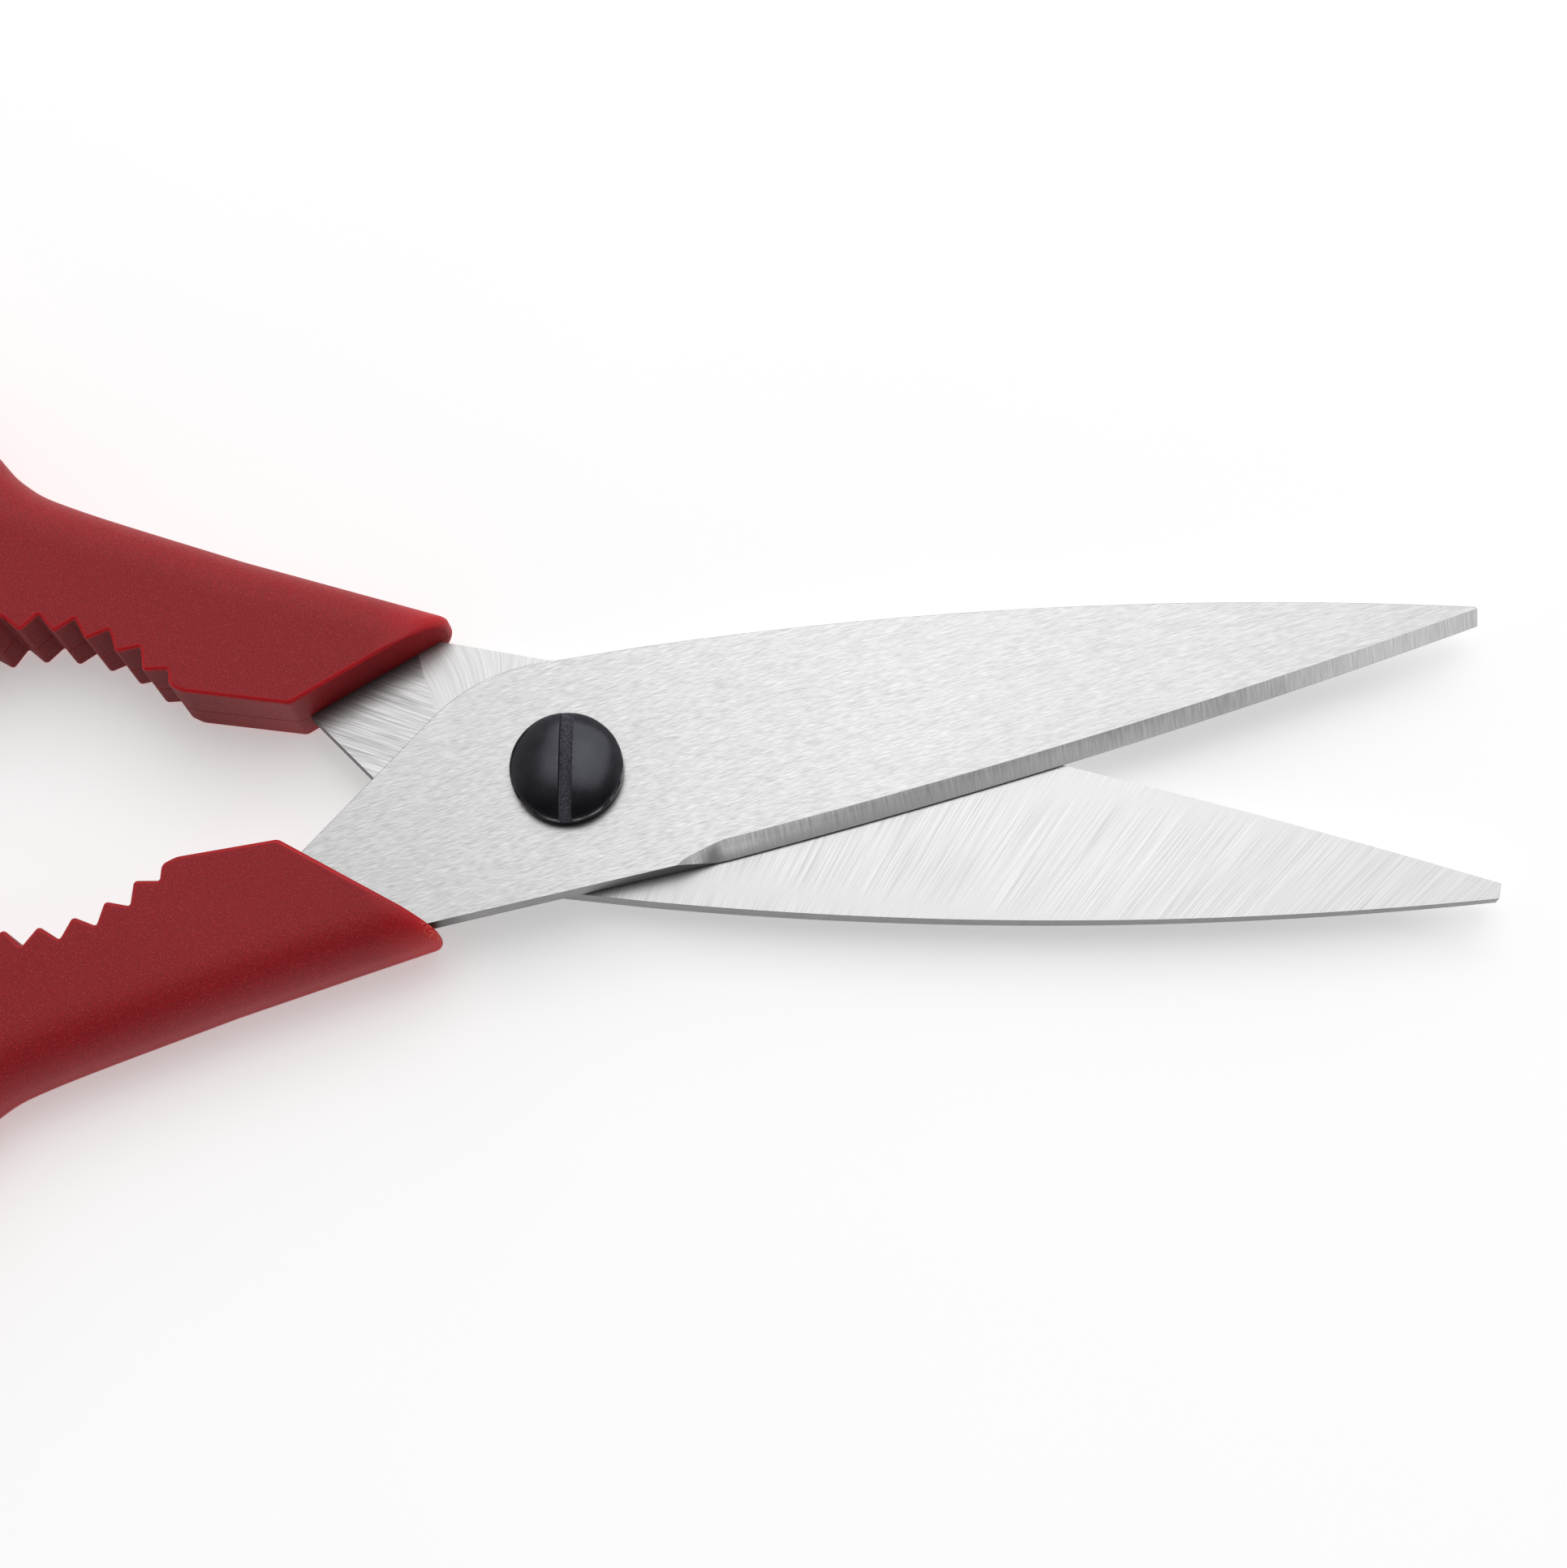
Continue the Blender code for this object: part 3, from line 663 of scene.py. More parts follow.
def plastic_colour(tree, place, mottle, dots, edge, wall):
    """Red, uneven in its grain, with painted glints, painted shade on the toothed walls and a painted
    glow, even, along its edges and at its end.
    """
    base = mix_colour(tree, noise(tree, place, PLASTIC_CLOUD), PLASTIC_DARK, PLASTIC_LIGHT)
    shade = blend(tree, edge, ramp(tree, mottle, 0.3, 0.7, *PLASTIC_UNEVEN), 1.0)
    # painted shade: the toothed side's walls are darkened
    shade = calc(tree, "MULTIPLY", shade, blend(tree, wall, 1.0, WALL_PAINTED_SHADE))
    base = add(tree, "VectorMath", {0: base, 1: tone(tree, shade)}, operation="MULTIPLY").outputs[0]
    # painted glints on the dots, none on the edges
    painted_glints = calc(tree, "MULTIPLY", dots, blend(tree, edge, PAINTED_GLINT_SHARE, 0.0))
    base = mix_colour(tree, painted_glints, base, PLASTIC_PAINTED_GLINT)
    # painted glow along the edges and at the handle's end
    end = ramp_mm(tree, parts_of(tree, place)[0], END_PAINTED_GLOW_X, 0.0, 0.9)
    red = calc(tree, "MAXIMUM", calc(tree, "MULTIPLY", edge, 0.7), end)
    return mix_colour(tree, red, base, PLASTIC_PAINTED_GLOW)


def red_plastic():
    """Moulded plastic with a fine spark-eroded grain, smoother along its edges, where a painted glow
    makes it a deeper red.

    The attribute "edge" is positive on the narrow roundings and -1 on the walls below them.
    """
    material, tree, shader, place = new_material("red_plastic")
    grain = noise(tree, place, PLASTIC_GRAIN, 1.0, 0.6)
    coarse = noise(tree, place, PLASTIC_COARSE)
    cell = add(tree, "TexVoronoi", {"Vector": place, "Scale": DOT_GRAIN}, feature="F1").outputs[0]
    dots = ramp(tree, cell, 0.05, 0.3, 1.0, 0.0)
    part = add(tree, "Attribute", attribute_name="edge").outputs["Fac"]
    edge = calc(tree, "MAXIMUM", part, 0.0)
    wall = calc(tree, "MAXIMUM", calc(tree, "MULTIPLY", part, -1.0), 0.0)
    crumb = crumbs(tree, place)
    base = plastic_colour(tree, place, blend(tree, 0.15, grain, coarse), dots, edge, wall)
    tree.links.new(mix_colour(tree, crumb, base, PLASTIC_CRUMB), shader.inputs["Base Color"])
    shader.inputs["IOR"].default_value = 1.4
    shader.inputs["Subsurface Weight"].default_value = 0.4
    shader.inputs["Subsurface Radius"].default_value = (1.0, 0.15, 0.12)
    shader.inputs["Subsurface Scale"].default_value = 1.5 * MM
    rough = calc(tree, "MULTIPLY_ADD", wall, 0.14, blend(tree, edge, *PLASTIC_ROUGH))
    tree.links.new(rough, shader.inputs["Roughness"])
    relief = calc(tree, "MULTIPLY_ADD", coarse, 0.5, grain)
    relief = calc(tree, "MULTIPLY_ADD", dots, 0.35, relief)
    relief = calc(tree, "MULTIPLY_ADD", crumb, 3.0, relief)
    bump = add(tree, "Bump", {"Height": relief, "Strength": blend(tree, edge, 1.0, 0.25),
                              "Distance": PLASTIC_RELIEF * MM})
    tree.links.new(bump.outputs[0], shader.inputs["Normal"])
    return material


def painted_rim_highlight(tree, place, cloud):
    """Where a painted highlight lightens the blackened steel: patches round the rim of the screw's head.
    """
    flat = add(tree, "VectorMath", {0: place, 1: (1, 1, 0)}, operation="MULTIPLY").outputs[0]
    radius = add(tree, "VectorMath", {0: flat}, operation="LENGTH").outputs["Value"]
    band = ramp_mm(tree, radius, (HEAD_RADIUS - 0.14, HEAD_RADIUS - 0.06))
    level = ramp_mm(tree, parts_of(tree, place)[2], (HEAD_RIM_Z - 0.15, HEAD_RIM_Z - 0.08))
    patches = ramp(tree, cloud, 0.42, 0.6, 0.0, 0.8)
    return calc(tree, "MULTIPLY", calc(tree, "MULTIPLY", band, level), patches)


def slot_floor(tree, place):
    """1 on the floor of the screw's slot and 0 elsewhere."""
    x, _, z = parts_of(tree, place)
    return calc(tree, "MULTIPLY", ramp_mm(tree, calc(tree, "ABSOLUTE", x), SLOT_FLOOR_X),
                ramp_mm(tree, z, (SLOT_FLOOR_Z + 0.3, SLOT_FLOOR_Z + 0.1)))


def black_steel():
    """Chemically blackened steel, satin, with a painted highlight in patches round the head's rim, and
    dull on the slot's floor.
    """
    material, tree, shader, place = new_material("black_steel")
    cloud = noise(tree, place, BLACK_CLOUD, 3.0)
    grain = noise(tree, place, BLACK_GRAIN)
    mottle = blend(tree, 0.5, cloud, grain)
    base = mix_colour(tree, mottle, *BLACK_SHADES)
    # painted highlight in patches round the head's rim
    base = mix_colour(tree, painted_rim_highlight(tree, place, cloud), base, RIM_HIGHLIGHT_STEEL)
    inside = slot_floor(tree, place)
    dull = mix_colour(tree, ramp(tree, grain, 0.3, 0.7), *SLOT_SHADES)
    tree.links.new(mix_colour(tree, inside, base, dull), shader.inputs["Base Color"])
    shader.inputs["Metallic"].default_value = 0.85
    rough = ramp(tree, mottle, 0.3, 0.7, *BLACK_ROUGH)
    tree.links.new(calc(tree, "MULTIPLY_ADD", inside, 0.35, rough), shader.inputs["Roughness"])
    bump = add(tree, "Bump", {"Height": mottle, "Strength": 1.0, "Distance": 0.006 * MM})
    tree.links.new(bump.outputs[0], shader.inputs["Normal"])
    return material


def plated_steel():
    """Plated steel with the fine rings that a lathe leaves."""
    material, tree, shader, place = new_material("plated_steel")
    x, y, z = parts_of(tree, place)
    square = calc(tree, "ADD", calc(tree, "MULTIPLY", x, x), calc(tree, "MULTIPLY", y, y))
    flat = add(tree, "CombineXYZ", {0: calc(tree, "DIVIDE", calc(tree, "SQRT", square), RING_WIDTH * MM),
                                    1: calc(tree, "ARCTAN2", y, x),
                                    2: calc(tree, "DIVIDE", z, RING_WIDTH * MM)})
    rings = noise(tree, flat.outputs[0], 1.0)
    cloud = noise(tree, place, PLATED_CLOUD)
    lit = calc(tree, "MULTIPLY_ADD", cloud, 0.5, calc(tree, "MULTIPLY", rings, 0.6))
    steel_shader(tree, shader, lit, rings, PLATED_SHADES, PLATED_ROUGH, TURNED_RELIEF)
    return material


# -------- blades

def spine_point(x):
    """The point of the curved spine at x."""
    centre = circle_centre(TIP_SPINE, SPINE_REAR, SPINE_RADIUS)
    return (x, centre.y + math.sqrt(SPINE_RADIUS ** 2 - (x - centre.x) ** 2))


def tang_upper_side():
    """From the top of the slanting rear edge down to the tang's end."""
    end = arc(TANG_UPPER[-1], TANG_LOWER[0], TANG_END_RADIUS, TANG_END_STEPS)[1:-1]
    return [CORNER_END] + TANG_UPPER + end


def face_height(x):
    """Height of the outer face, which tapers towards the tip."""
    share = max(0.0, (x - TAPER_X) / (TIP_SPINE[0] - TAPER_X))
    return BLADE_T + (TIP_T - BLADE_T) * share


def wall_profile(before, point, after):
    """Points up a plain side wall with a small chamfer at both faces."""
    top = face_height(point[0])
    inset = offset_point(before, point, after, BLADE_CHAMFER)
    heights = (BLADE_CHAMFER, top * 0.35, top * 0.65, top - BLADE_CHAMFER)
    return [(*inset, 0.0)] + [(*point, z) for z in heights] + [(*inset, top)]


def bevel_profile(point, upper, lip):
    """Points up the bevel to its upper edge: a narrow flat at the bottom, then the ground slope."""
    lower = Vector((*point, lip))
    crest = Vector((*upper, face_height(point[0])))
    return [(*point, 0.0), (*point, lip * 0.5), lower, lower.lerp(crest, 0.5),
            lower.lerp(crest, 0.98), crest]


def bevel_stations():
    """The cutting edge from its run-out to the tip, as (point, bevel width, lip)."""
    stations = [(RUN_OUT, 0.0, BLADE_T)]
    for step in range(1, RUN_OUT_STEPS):
        share = step / RUN_OUT_STEPS
        point = Vector(RUN_OUT).lerp(Vector(HEEL), share)
        lip = max(BEVEL_LIP, BLADE_T * (1 - share / LIP_REACH))
        stations.append((tuple(point), BEVEL_HEEL * share ** RUN_OUT_BOW, lip))
    for x, y in arc(HEEL, TIP_EDGE, EDGE_RADIUS, LONG_STEPS):
        share = (x - HEEL[0]) / (TIP_EDGE[0] - HEEL[0])
        stations.append(((x, y), BEVEL_HEEL + (BEVEL_TIP - BEVEL_HEEL) * share, BEVEL_LIP))
    return stations


def blade_columns():
    """The side all round the blade as columns of points; also the bevel's and the spine's count."""
    bevel = bevel_stations()
    spine = [spine_point(TIP_SPINE[0] + (TAPER_X - TIP_SPINE[0]) * step / LONG_STEPS)
             for step in range(LONG_STEPS + 1)]
    rear = arc(SPINE_REAR, CORNER_END, CORNER_RADIUS, CORNER_STEPS)[:-1] + tang_upper_side() + TANG_LOWER
    points = [station[0] for station in bevel] + spine + rear
    columns = []
    for index, point in enumerate(points):
        before = points[index - 1]
        after = points[(index + 1) % len(points)]
        if index >= len(bevel):
            columns.append(wall_profile(before, point, after))
            continue
        _, width, lip = bevel[index]
        upper = offset_point(before, point, after, width)
        if index == len(bevel) - 1:
            upper = (point[0], point[1] + BEVEL_TIP)    # in the plane of the tip's end
        columns.append(bevel_profile(point, upper, lip))
    return columns, len(bevel), len(spine)


def blade_mesh():
    """A blade with its tang. Material 0 is the outer face, 1 the inner, 2 the bevel, 3 the sides."""
    places, bevel_count, spine_count = blade_columns()
    bm = bmesh.new()
    columns = [[bm.verts.new(place) for place in column] for column in places]
    for index, column in enumerate(columns):
        following = (index + 1) % len(columns)
        other = columns[following]
        on_bevel = 0 < following < bevel_count
        for level in range(len(column) - 1):
            face = bm.faces.new((column[level], other[level], other[level + 1], column[level + 1]))
            face.material_index = 2 if on_bevel and level >= 2 else 3
    inner = bm.faces.new([column[0] for column in reversed(columns)])
    inner.material_index = 1
    front = bevel_count + spine_count
    top = [column[-1] for column in columns]
    bm.faces.new(top[:front]).material_index = 0
    bm.faces.new(top[front - 1:] + top[:1]).material_index = 0
    return bm


def make_blade(name, body, matrix, materials):
    """A blade bored for the pivot, with the tang's key hole."""
    blade = mesh_object(name + "_finish", blade_mesh(), matrix, materials, STEEL_SHARP)
    low, high = -2, BLADE_T + 2
    bore = mesh_object("bore", cylinder((0, 0), BORE_RADIUS, low, high), matrix)
    hole = mesh_object("hole", cylinder(KEY_HOLE, KEY_HOLE_RADIUS, low, high, KEY_HOLE_STEPS), matrix)
    boolean(blade, bore, "DIFFERENCE")
    boolean(blade, hole, "DIFFERENCE")
    settle(blade, (bore, hole), STEEL_SHARP)
    finish_piece(blade, body, [name])


# -------- handles

def jaw_point(angle, radius):
    """A point on a circle about the jaw's centre, angle 0 being straight down."""
    return (JAW_CENTRE[0] + radius * math.sin(angle), JAW_CENTRE[1] - radius * math.cos(angle))


def jaw_corners():
    """The toothed side's corners as (x, y, rounding of the edge, rounding of the corner)."""
    corners = [(x, y, EDGE_ROUND, turn) for x, y, turn in FLAT]
    for tooth in TOOTH_RANGE:
        tip = TOOTH_FIRST + TOOTH_PITCH * tooth
        corners.append((*jaw_point(tip + TOOTH_PITCH / 2, JAW_ROOT_RADIUS), EDGE_ROUND, ROOT_ROUND))
        corners.append((*jaw_point(tip, JAW_TIP_RADIUS), EDGE_ROUND, TIP_ROUND))
    corners.append((*jaw_point(tip - TOOTH_PITCH / 2, JAW_ROOT_RADIUS), EDGE_ROUND, ROOT_ROUND))
    corners.append((*JAW_END, EDGE_ROUND, JAW_END_ROUND))
    corners.append((STOP_X[1], STOP_Y, EDGE_ROUND, STOP_ROUND[0]))
    corners.append((STOP_X[0], STOP_Y, EDGE_ROUND + STOP_EDGE_EXTRA, STOP_ROUND[1]))
    corners.append((*LOOP_OUTSIDE[-1], 0))
    return corners


def jaw_side():
    """The toothed side with its corners rounded, as (x, y, rounding of the edge)."""
    corners = jaw_corners()
    path = [corners[0][:3]]
    for before, corner, after in zip(corners, corners[1:], corners[2:]):
        turn = rounded_corner(before[:2], corner[:2], after[:2], corner[3], JAW_CORNER_STEPS)
        path += [(point.x, point.y, corner[2]) for point in turn]
    return path


def handle_path():
    """The open path from the flat round the teeth and the loop, and where its last stretch starts."""
    path = jaw_side() + list(reversed(smooth(LOOP_OUTSIDE, LOOP_STEPS)))
    tail = len(path) - 1
    start = Vector(path[-1])
    end = Vector(OUTER_START)
    path += [tuple(start.lerp(end, step / OUTER_STEPS)) for step in range(1, OUTER_STEPS + 1)]
    return path, tail


def hole_outline():
    """The finger hole, clockwise, so that the plastic is on its left too."""
    curve = smooth(LOOP_HOLE, LOOP_STEPS, closed=True)
    turned_left = sum(a[0] * b[1] - b[0] * a[1] for a, b in zip(curve, curve[1:] + curve[:1])) > 0
    if turned_left:
        curve.reverse()
    return [(x, y, HOLE_ROUND) for x, y in curve]


def inset_at(rounding, drop, depth):
    """How far a rounded edge stands in at a height below the face."""
    rise = min(rounding, depth)
    climb = max(0.0, 1 - drop / rise)
    if rounding < WIDE_ROUND:
        return rounding * (1 - math.sqrt(1 - climb ** 2))
    return rounding * SOFT_REACH * (1 - (1 - climb ** 2) ** (1 / SOFT_POWER))


def moved_in(path, insets, closed):
    """A path drawn in by an inset at each point."""
    points = [Vector(p[:2]) for p in path]
    first = points[-1] if closed else points[0] * 2 - points[1]
    last = points[0] if closed else points[-1] * 2 - points[-2]
    around = zip([first] + points[:-1], points, points[1:] + [last], insets)
    return [offset_point(*corner) for corner in around]


def cut_off(ring, tail, shift):
    """Cut the slanting end wall off an open ring, with both its corners rounded in plan."""
    normal = Vector((-math.sin(SHOULDER_ANGLE), math.cos(SHOULDER_ANGLE)))
    place = Vector(SHOULDER) - normal * shift

    def crossing(a, b):
        da = (a - place).dot(normal)
        db = (b - place).dot(normal)
        return a.lerp(b, da / (da - db))

    brow = crossing(ring[1], ring[0])
    last = tail
    while (ring[last + 1] - place).dot(normal) < 0:
        last += 1
    nose = crossing(ring[last], ring[last + 1])
    nose_arc = rounded_corner(ring[tail], nose, brow, NOSE_ROUND, NOSE_STEPS)
    brow_arc = rounded_corner(nose, brow, ring[1], BROW_ROUND, BROW_STEPS)
    outer = [p for p in ring[tail:last + 1] if (p - nose).length > (nose_arc[0] - nose).length]
    outer = along(outer + [nose_arc[0]], NOSE_SIDE_STEPS)
    wall = nose_arc[1:-1] + along([nose_arc[-1], brow_arc[0]], END_WALL_STEPS) + brow_arc[1:]
    fade = [min(1.0, step / NOSE_FADE) for step in range(len(wall))]
    return ring[1:tail] + outer + wall, [0.0] * len(outer) + fade


def handle_levels(down, up):
    """Levels up the side as (height, drop from the nearer face, that face's distance).

    A level of the mould's parting line has no drop, and its depth in place of the distance.
    """
    below = [(drop - down, drop, down) for drop in DROPS if drop < down - SEAM_HALF]
    above = [(up - drop, drop, up) for drop in reversed(DROPS) if drop < up - SEAM_HALF]
    floor = SEAM_HALF * SEAM_FLOOR
    seam = [(-SEAM_HALF, None, 0.0), (-floor, None, SEAM_DEPTH),
            (floor, None, SEAM_DEPTH), (SEAM_HALF, None, 0.0)]
    return below + seam + above


def edge_mark(drop, share, wall):
    """The attribute "edge" at a level: its share on the rounding, minus the wall's share below."""
    if drop is None or drop >= EDGE_ROUND:
        return -wall
    return share if drop > 0 else 0.0


def handle_rings(bm, outline, tail, levels, reach, crisp):
    """Rings of vertices up a side. An outline with a tail is open, and gets the slanting end wall."""
    layer = bm.verts.layers.float["edge"]
    narrow = [1.0 if p[2] < WIDE_ROUND else 0.0 for p in outline]
    rings = []
    for height, drop, size in levels:
        insets = [size if drop is None else inset_at(p[2], drop, size) for p in outline]
        ring = moved_in(outline, insets, tail is None)
        shares = [crisp * part for part in narrow]
        walls = narrow
        if tail is not None:
            shift = size if drop is None else inset_at(SHOULDER_ROUND, drop, size)
            ring, ends = cut_off(ring, tail, shift - reach)
            shares = shares[1:tail] + ends
            walls = narrow[1:tail] + [0.0] * len(ends)
        verts = [bm.verts.new((p.x, p.y, height)) for p in ring]
        for vert, share, wall in zip(verts, shares, walls):
            vert[layer] = edge_mark(drop, share, wall)
        rings.append(verts)
    return rings


def handle_mesh(down, up, reach, crisp):
    """A handle between its back face at -down and its front face at up, about the parting plane."""
    bm = bmesh.new()
    bm.verts.layers.float.new("edge")
    path, tail = handle_path()
    levels = handle_levels(down, up)
    sides = [handle_rings(bm, path, tail, levels, reach, crisp),
             handle_rings(bm, hole_outline(), None, levels, reach, crisp)]
    for rings in sides:
        for ring, over in zip(rings, rings[1:]):
            for corners in zip(ring, ring[1:] + ring[:1], over[1:] + over[:1], over):
                bm.faces.new(corners)
    for level in (0, -1):
        loops = [rings[level] for rings in sides]
        edges = [bm.edges.get((a, b)) for loop in loops for a, b in zip(loop, loop[1:] + loop[:1])]
        bmesh.ops.triangle_fill(bm, use_beauty=True, edges=edges)
    return bm


def pocket_outline():
    """The space of the tang, open at the shoulder."""
    tang = [POCKET_MOUTH] + tang_upper_side() + TANG_LOWER
    around = zip(tang[-1:] + tang[:-1], tang, tang[1:] + tang[:1])
    return [offset_point(*corner, -POCKET_GAP) for corner in around]


def make_handle(name, body, matrix, material, down, up, reach, crisp):
    """A handle moulded round the tang, with the key that fills the tang's hole."""
    handle = mesh_object(name + "_finish", handle_mesh(down, up, reach, crisp), matrix, [material],
                         PLASTIC_SHARP)
    tang_space = prism(pocket_outline(), -POCKET_GAP, BLADE_T + POCKET_GAP)
    pocket = mesh_object("pocket", tang_space, matrix)
    plug = cylinder(KEY_HOLE, KEY_HOLE_RADIUS - POCKET_GAP, -KEY_ROOT, BLADE_T + KEY_ROOT, KEY_STEPS)
    key = mesh_object("key", plug, matrix)
    boolean(handle, pocket, "DIFFERENCE")
    boolean(handle, key, "UNION")
    settle(handle, (pocket, key), PLASTIC_SHARP)
    weighted = handle.modifiers.new("even_shading", "WEIGHTED_NORMAL")
    weighted.keep_sharp = True
    weighted.weight = 100
    finish_piece(handle, body, [name])


# -------- pivot

def screw_profile():
    """The screw's outline from the shank's end to the top of the dome, as (radius, height)."""
    shoulder_z = SPLIT_Z + BUSH_GAP
    profile = [(0, SHANK_END_Z), (SHANK_RADIUS - SHANK_CHAMFER, SHANK_END_Z),
               (SHANK_RADIUS, SHANK_END_Z + SHANK_CHAMFER), (SHANK_RADIUS, shoulder_z),
               (BUSH_RADIUS, shoulder_z), (BUSH_RADIUS, HEAD_UNDER_Z),
               (HEAD_RADIUS - HEAD_CHAMFER, HEAD_UNDER_Z),
               (HEAD_RADIUS, HEAD_UNDER_Z + HEAD_CHAMFER)]
    for step in range(DOME_STEPS):
        angle = math.pi / 2 * step / DOME_STEPS
        rise = (HEAD_TOP_Z - HEAD_RIM_Z) * math.sin(angle) ** HEAD_FULLNESS
        profile.append((HEAD_RADIUS * math.cos(angle), HEAD_RIM_Z + rise))
    return profile + [(0, HEAD_TOP_Z)]


def make_pivot_screw(material):
    """Slotted screw with a domed head."""
    screw = mesh_object("pivot_screw_finish", turned(screw_profile()), UPRIGHT, [material])
    slot = bmesh.new()
    bmesh.ops.create_cube(slot, size=1)
    bmesh.ops.scale(slot, vec=(SLOT_WIDTH, 2.4 * HEAD_RADIUS, 4), verts=slot.verts)
    bmesh.ops.translate(slot, vec=(0, 0, SLOT_FLOOR_Z + 2), verts=slot.verts)
    cutter = mesh_object("slot", slot, Matrix.Rotation(SLOT_TURN, 4, "Z"))
    boolean(screw, cutter, "DIFFERENCE")
    bevel = screw.modifiers.new("worn_edges", "BEVEL")
    bevel.width = WORN_EDGE * MM
    bevel.segments = 2
    bevel.limit_method = "ANGLE"
    bevel.angle_limit = WORN_ANGLE
    settle(screw, (cutter,))
    finish_piece(screw, "rear_half", ["pivot_screw"])


def make_head_washer(material):
    """Flat washer between the screw's head and the front blade."""
    low, high = HEAD_WASHER_Z
    flat = HEAD_WASHER_RADIUS - WASHER_CHAMFER
    profile = [(BORE_RADIUS, low), (flat, low), (HEAD_WASHER_RADIUS, low + WASHER_CHAMFER),
               (HEAD_WASHER_RADIUS, high - WASHER_CHAMFER), (flat, high), (BORE_RADIUS, high)]
    washer = mesh_object("head_washer_finish", turned(profile), UPRIGHT, [material])
    finish_piece(washer, "rear_half", ["head_washer"])


def make_pivot_nut(material):
    """Round flanged nut whose barrel sits in the rear blade."""
    top = SPLIT_Z - NUT_TOP_GAP
    floor = NUT_FLANGE_T + NUT_BORE_FLOOR
    profile = [(0, 0), (NUT_RADIUS - NUT_CHAMFER, 0), (NUT_RADIUS, NUT_CHAMFER),
               (NUT_RADIUS, NUT_FLANGE_T - NUT_FLANGE_SOFT),
               (NUT_RADIUS - NUT_FLANGE_SOFT, NUT_FLANGE_T), (BUSH_RADIUS, NUT_FLANGE_T),
               (BUSH_RADIUS, top), (NUT_BORE_RADIUS, top), (NUT_BORE_RADIUS, floor), (0, floor)]
    nut = mesh_object("pivot_nut_finish", turned(profile), UPRIGHT, [material])
    finish_piece(nut, "rear_half", ["pivot_nut"])


def make_wave_washer(material):
    """Spring washer with three waves, between the nut's flange and the rear blade."""
    low = WAVE_WASHER_Z
    high = low + WAVE_WASHER_T
    profile = [(BORE_RADIUS, low), (WAVE_WASHER_RADIUS, low), (WAVE_WASHER_RADIUS, high),
               (BORE_RADIUS, high)]
    bm = turned(profile)
    for vert in bm.verts:
        vert.co.z += WAVE_HEIGHT * math.sin(3 * math.atan2(vert.co.y, vert.co.x))
    washer = mesh_object("wave_washer_finish", bm, UPRIGHT, [material])
    finish_piece(washer, "rear_half", ["wave_washer"])


# -------- studio

def make_floor():
    """A plain white floor."""
    bm = bmesh.new()
    bmesh.ops.create_grid(bm, x_segments=1, y_segments=1, size=FLOOR_HALF)
    bmesh.ops.translate(bm, vec=(0, 0, FLOOR_Z), verts=bm.verts)
    material, tree, shader, _ = new_material("white_floor")
    place = add(tree, "TexCoord").outputs["Object"]
    shade = blend(tree, noise(tree, place, FLOOR_CLOUD), *FLOOR_SHADES)
    tree.links.new(tone(tree, shade), shader.inputs["Base Color"])
    shader.inputs["Roughness"].default_value = 0.9
    shader.inputs["Specular IOR Level"].default_value = 0.1
    shader.inputs["Emission Color"].default_value = (1, 1, 1, 1)
    shader.inputs["Emission Strength"].default_value = FLOOR_GLOW
    mesh_object("floor", bm, UPRIGHT, [material])


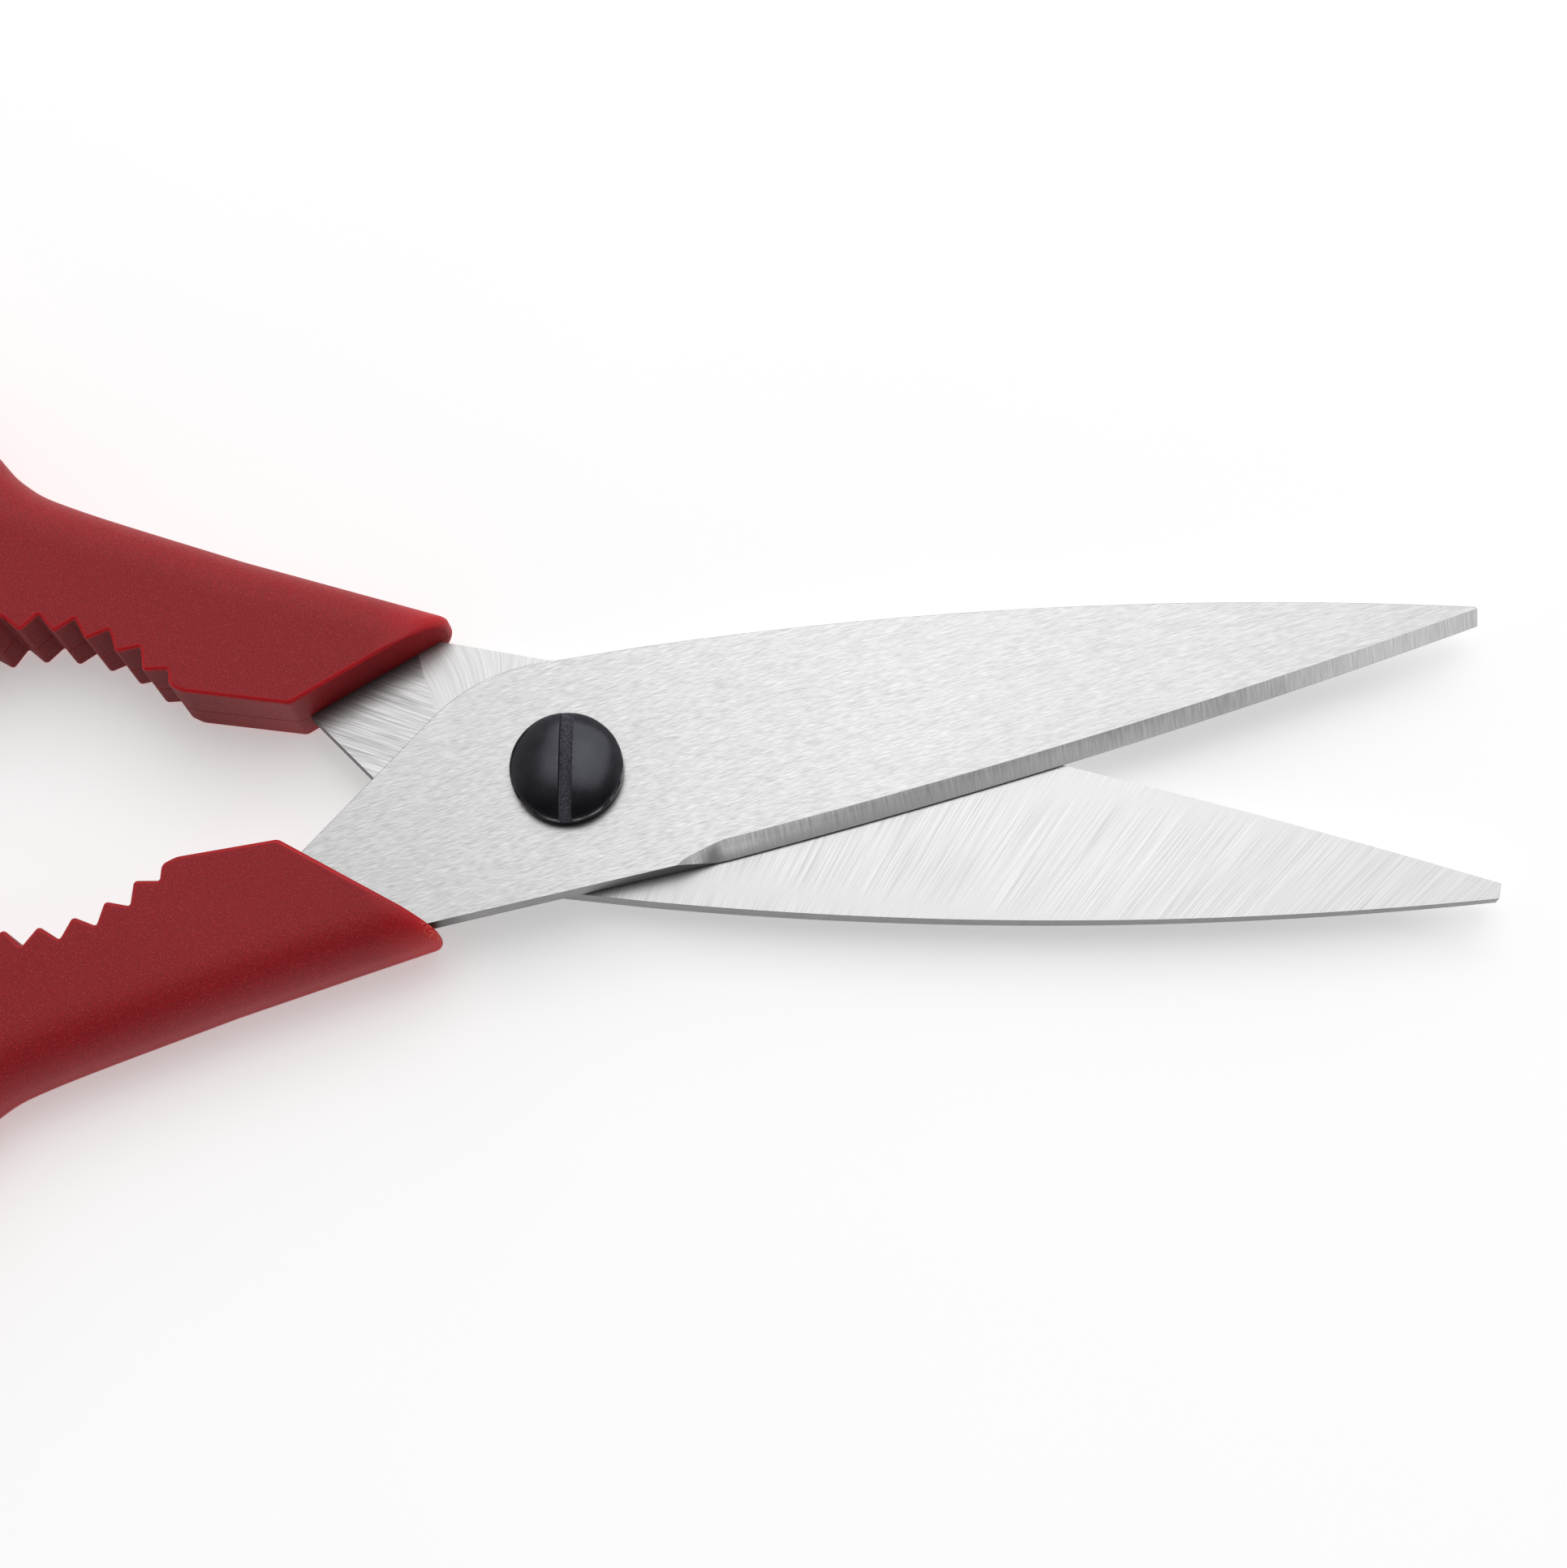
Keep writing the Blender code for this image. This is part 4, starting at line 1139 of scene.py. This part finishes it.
def make_world():
    """A room with pale walls and a dark ceiling: brightness by height above the horizon."""
    world = bpy.data.worlds.new("room")
    world.use_nodes = True
    tree = world.node_tree
    _, depth, height = parts_of(tree, add(tree, "TexCoord").outputs["Generated"])
    band = add(tree, "ValToRGB", {0: height})
    stops = band.color_ramp.elements
    for stop, (place, glow) in zip(list(stops), ROOM_GLOW):
        stop.position = place
        stop.color = grey(glow)
    for place, glow in ROOM_GLOW[2:]:
        stops.new(place).color = grey(glow)
    front = calc(tree, "MULTIPLY", ramp(tree, depth, *ROOM_FRONT_Y), ramp(tree, height, *ROOM_FRONT_Z))
    background = tree.nodes["Background"]
    tree.links.new(band.outputs[0], background.inputs[0])
    tree.links.new(calc(tree, "MULTIPLY_ADD", front, -ROOM_FRONT_SHADE, 1.0), background.inputs[1])
    bpy.context.scene.world = world


def make_lights():
    """The soft boxes."""
    for number, (way, distance, width, height, brightness) in enumerate(SOFTBOXES):
        lamp = bpy.data.lights.new(f"softbox_{number}", "AREA")
        lamp.shape = "RECTANGLE"
        lamp.size = width
        lamp.size_y = height
        lamp.energy = brightness * math.pi * width * height
        obj = bpy.data.objects.new(f"softbox_{number}", lamp)
        direction = Vector(way).normalized()
        obj.location = direction * distance
        obj.rotation_euler = direction.to_track_quat("Z", "Y").to_euler()
        bpy.context.scene.collection.objects.link(obj)
    bpy.context.scene.view_settings.view_transform = "Standard"


def make_camera():
    """The camera, a little to the front of straight above."""
    data = bpy.data.cameras.new("camera")
    data.lens = CAMERA_LENS
    data.sensor_width = CAMERA_SENSOR
    data.clip_start = CAMERA_NEAR
    camera = bpy.data.objects.new("camera", data)
    turn = Matrix((CAMERA_RIGHT, CAMERA_UP, CAMERA_BACK)).transposed().to_4x4()
    camera.matrix_world = Matrix.Translation(CAMERA_PLACE) @ turn
    bpy.context.scene.collection.objects.link(camera)
    bpy.context.scene.camera = camera


# -------- everything

def main():
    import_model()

    blade_looks = [brushed_steel(), ground_steel(), bevel_steel(), edge_steel()]
    plastic = red_plastic()
    black = black_steel()
    plated = plated_steel()

    make_blade("front_blade", "front_half", FRONT, blade_looks)
    make_blade("rear_blade", "rear_half", REAR, blade_looks)
    low, high = SPLIT_Z, HANDLE_T - SPLIT_Z
    half_gap = FACE_GAP / 2
    make_handle("front_handle", "front_half", FRONT, plastic, low + half_gap, high - half_gap,
                0.0, FRONT_CRISP)
    make_handle("rear_handle", "rear_half", REAR, plastic, high + half_gap, low - half_gap,
                REAR_REACH, 1.0)
    make_pivot_screw(black)
    make_head_washer(black)
    make_pivot_nut(plated)
    make_wave_washer(plated)

    make_floor()
    make_world()
    make_lights()
    make_camera()


main()
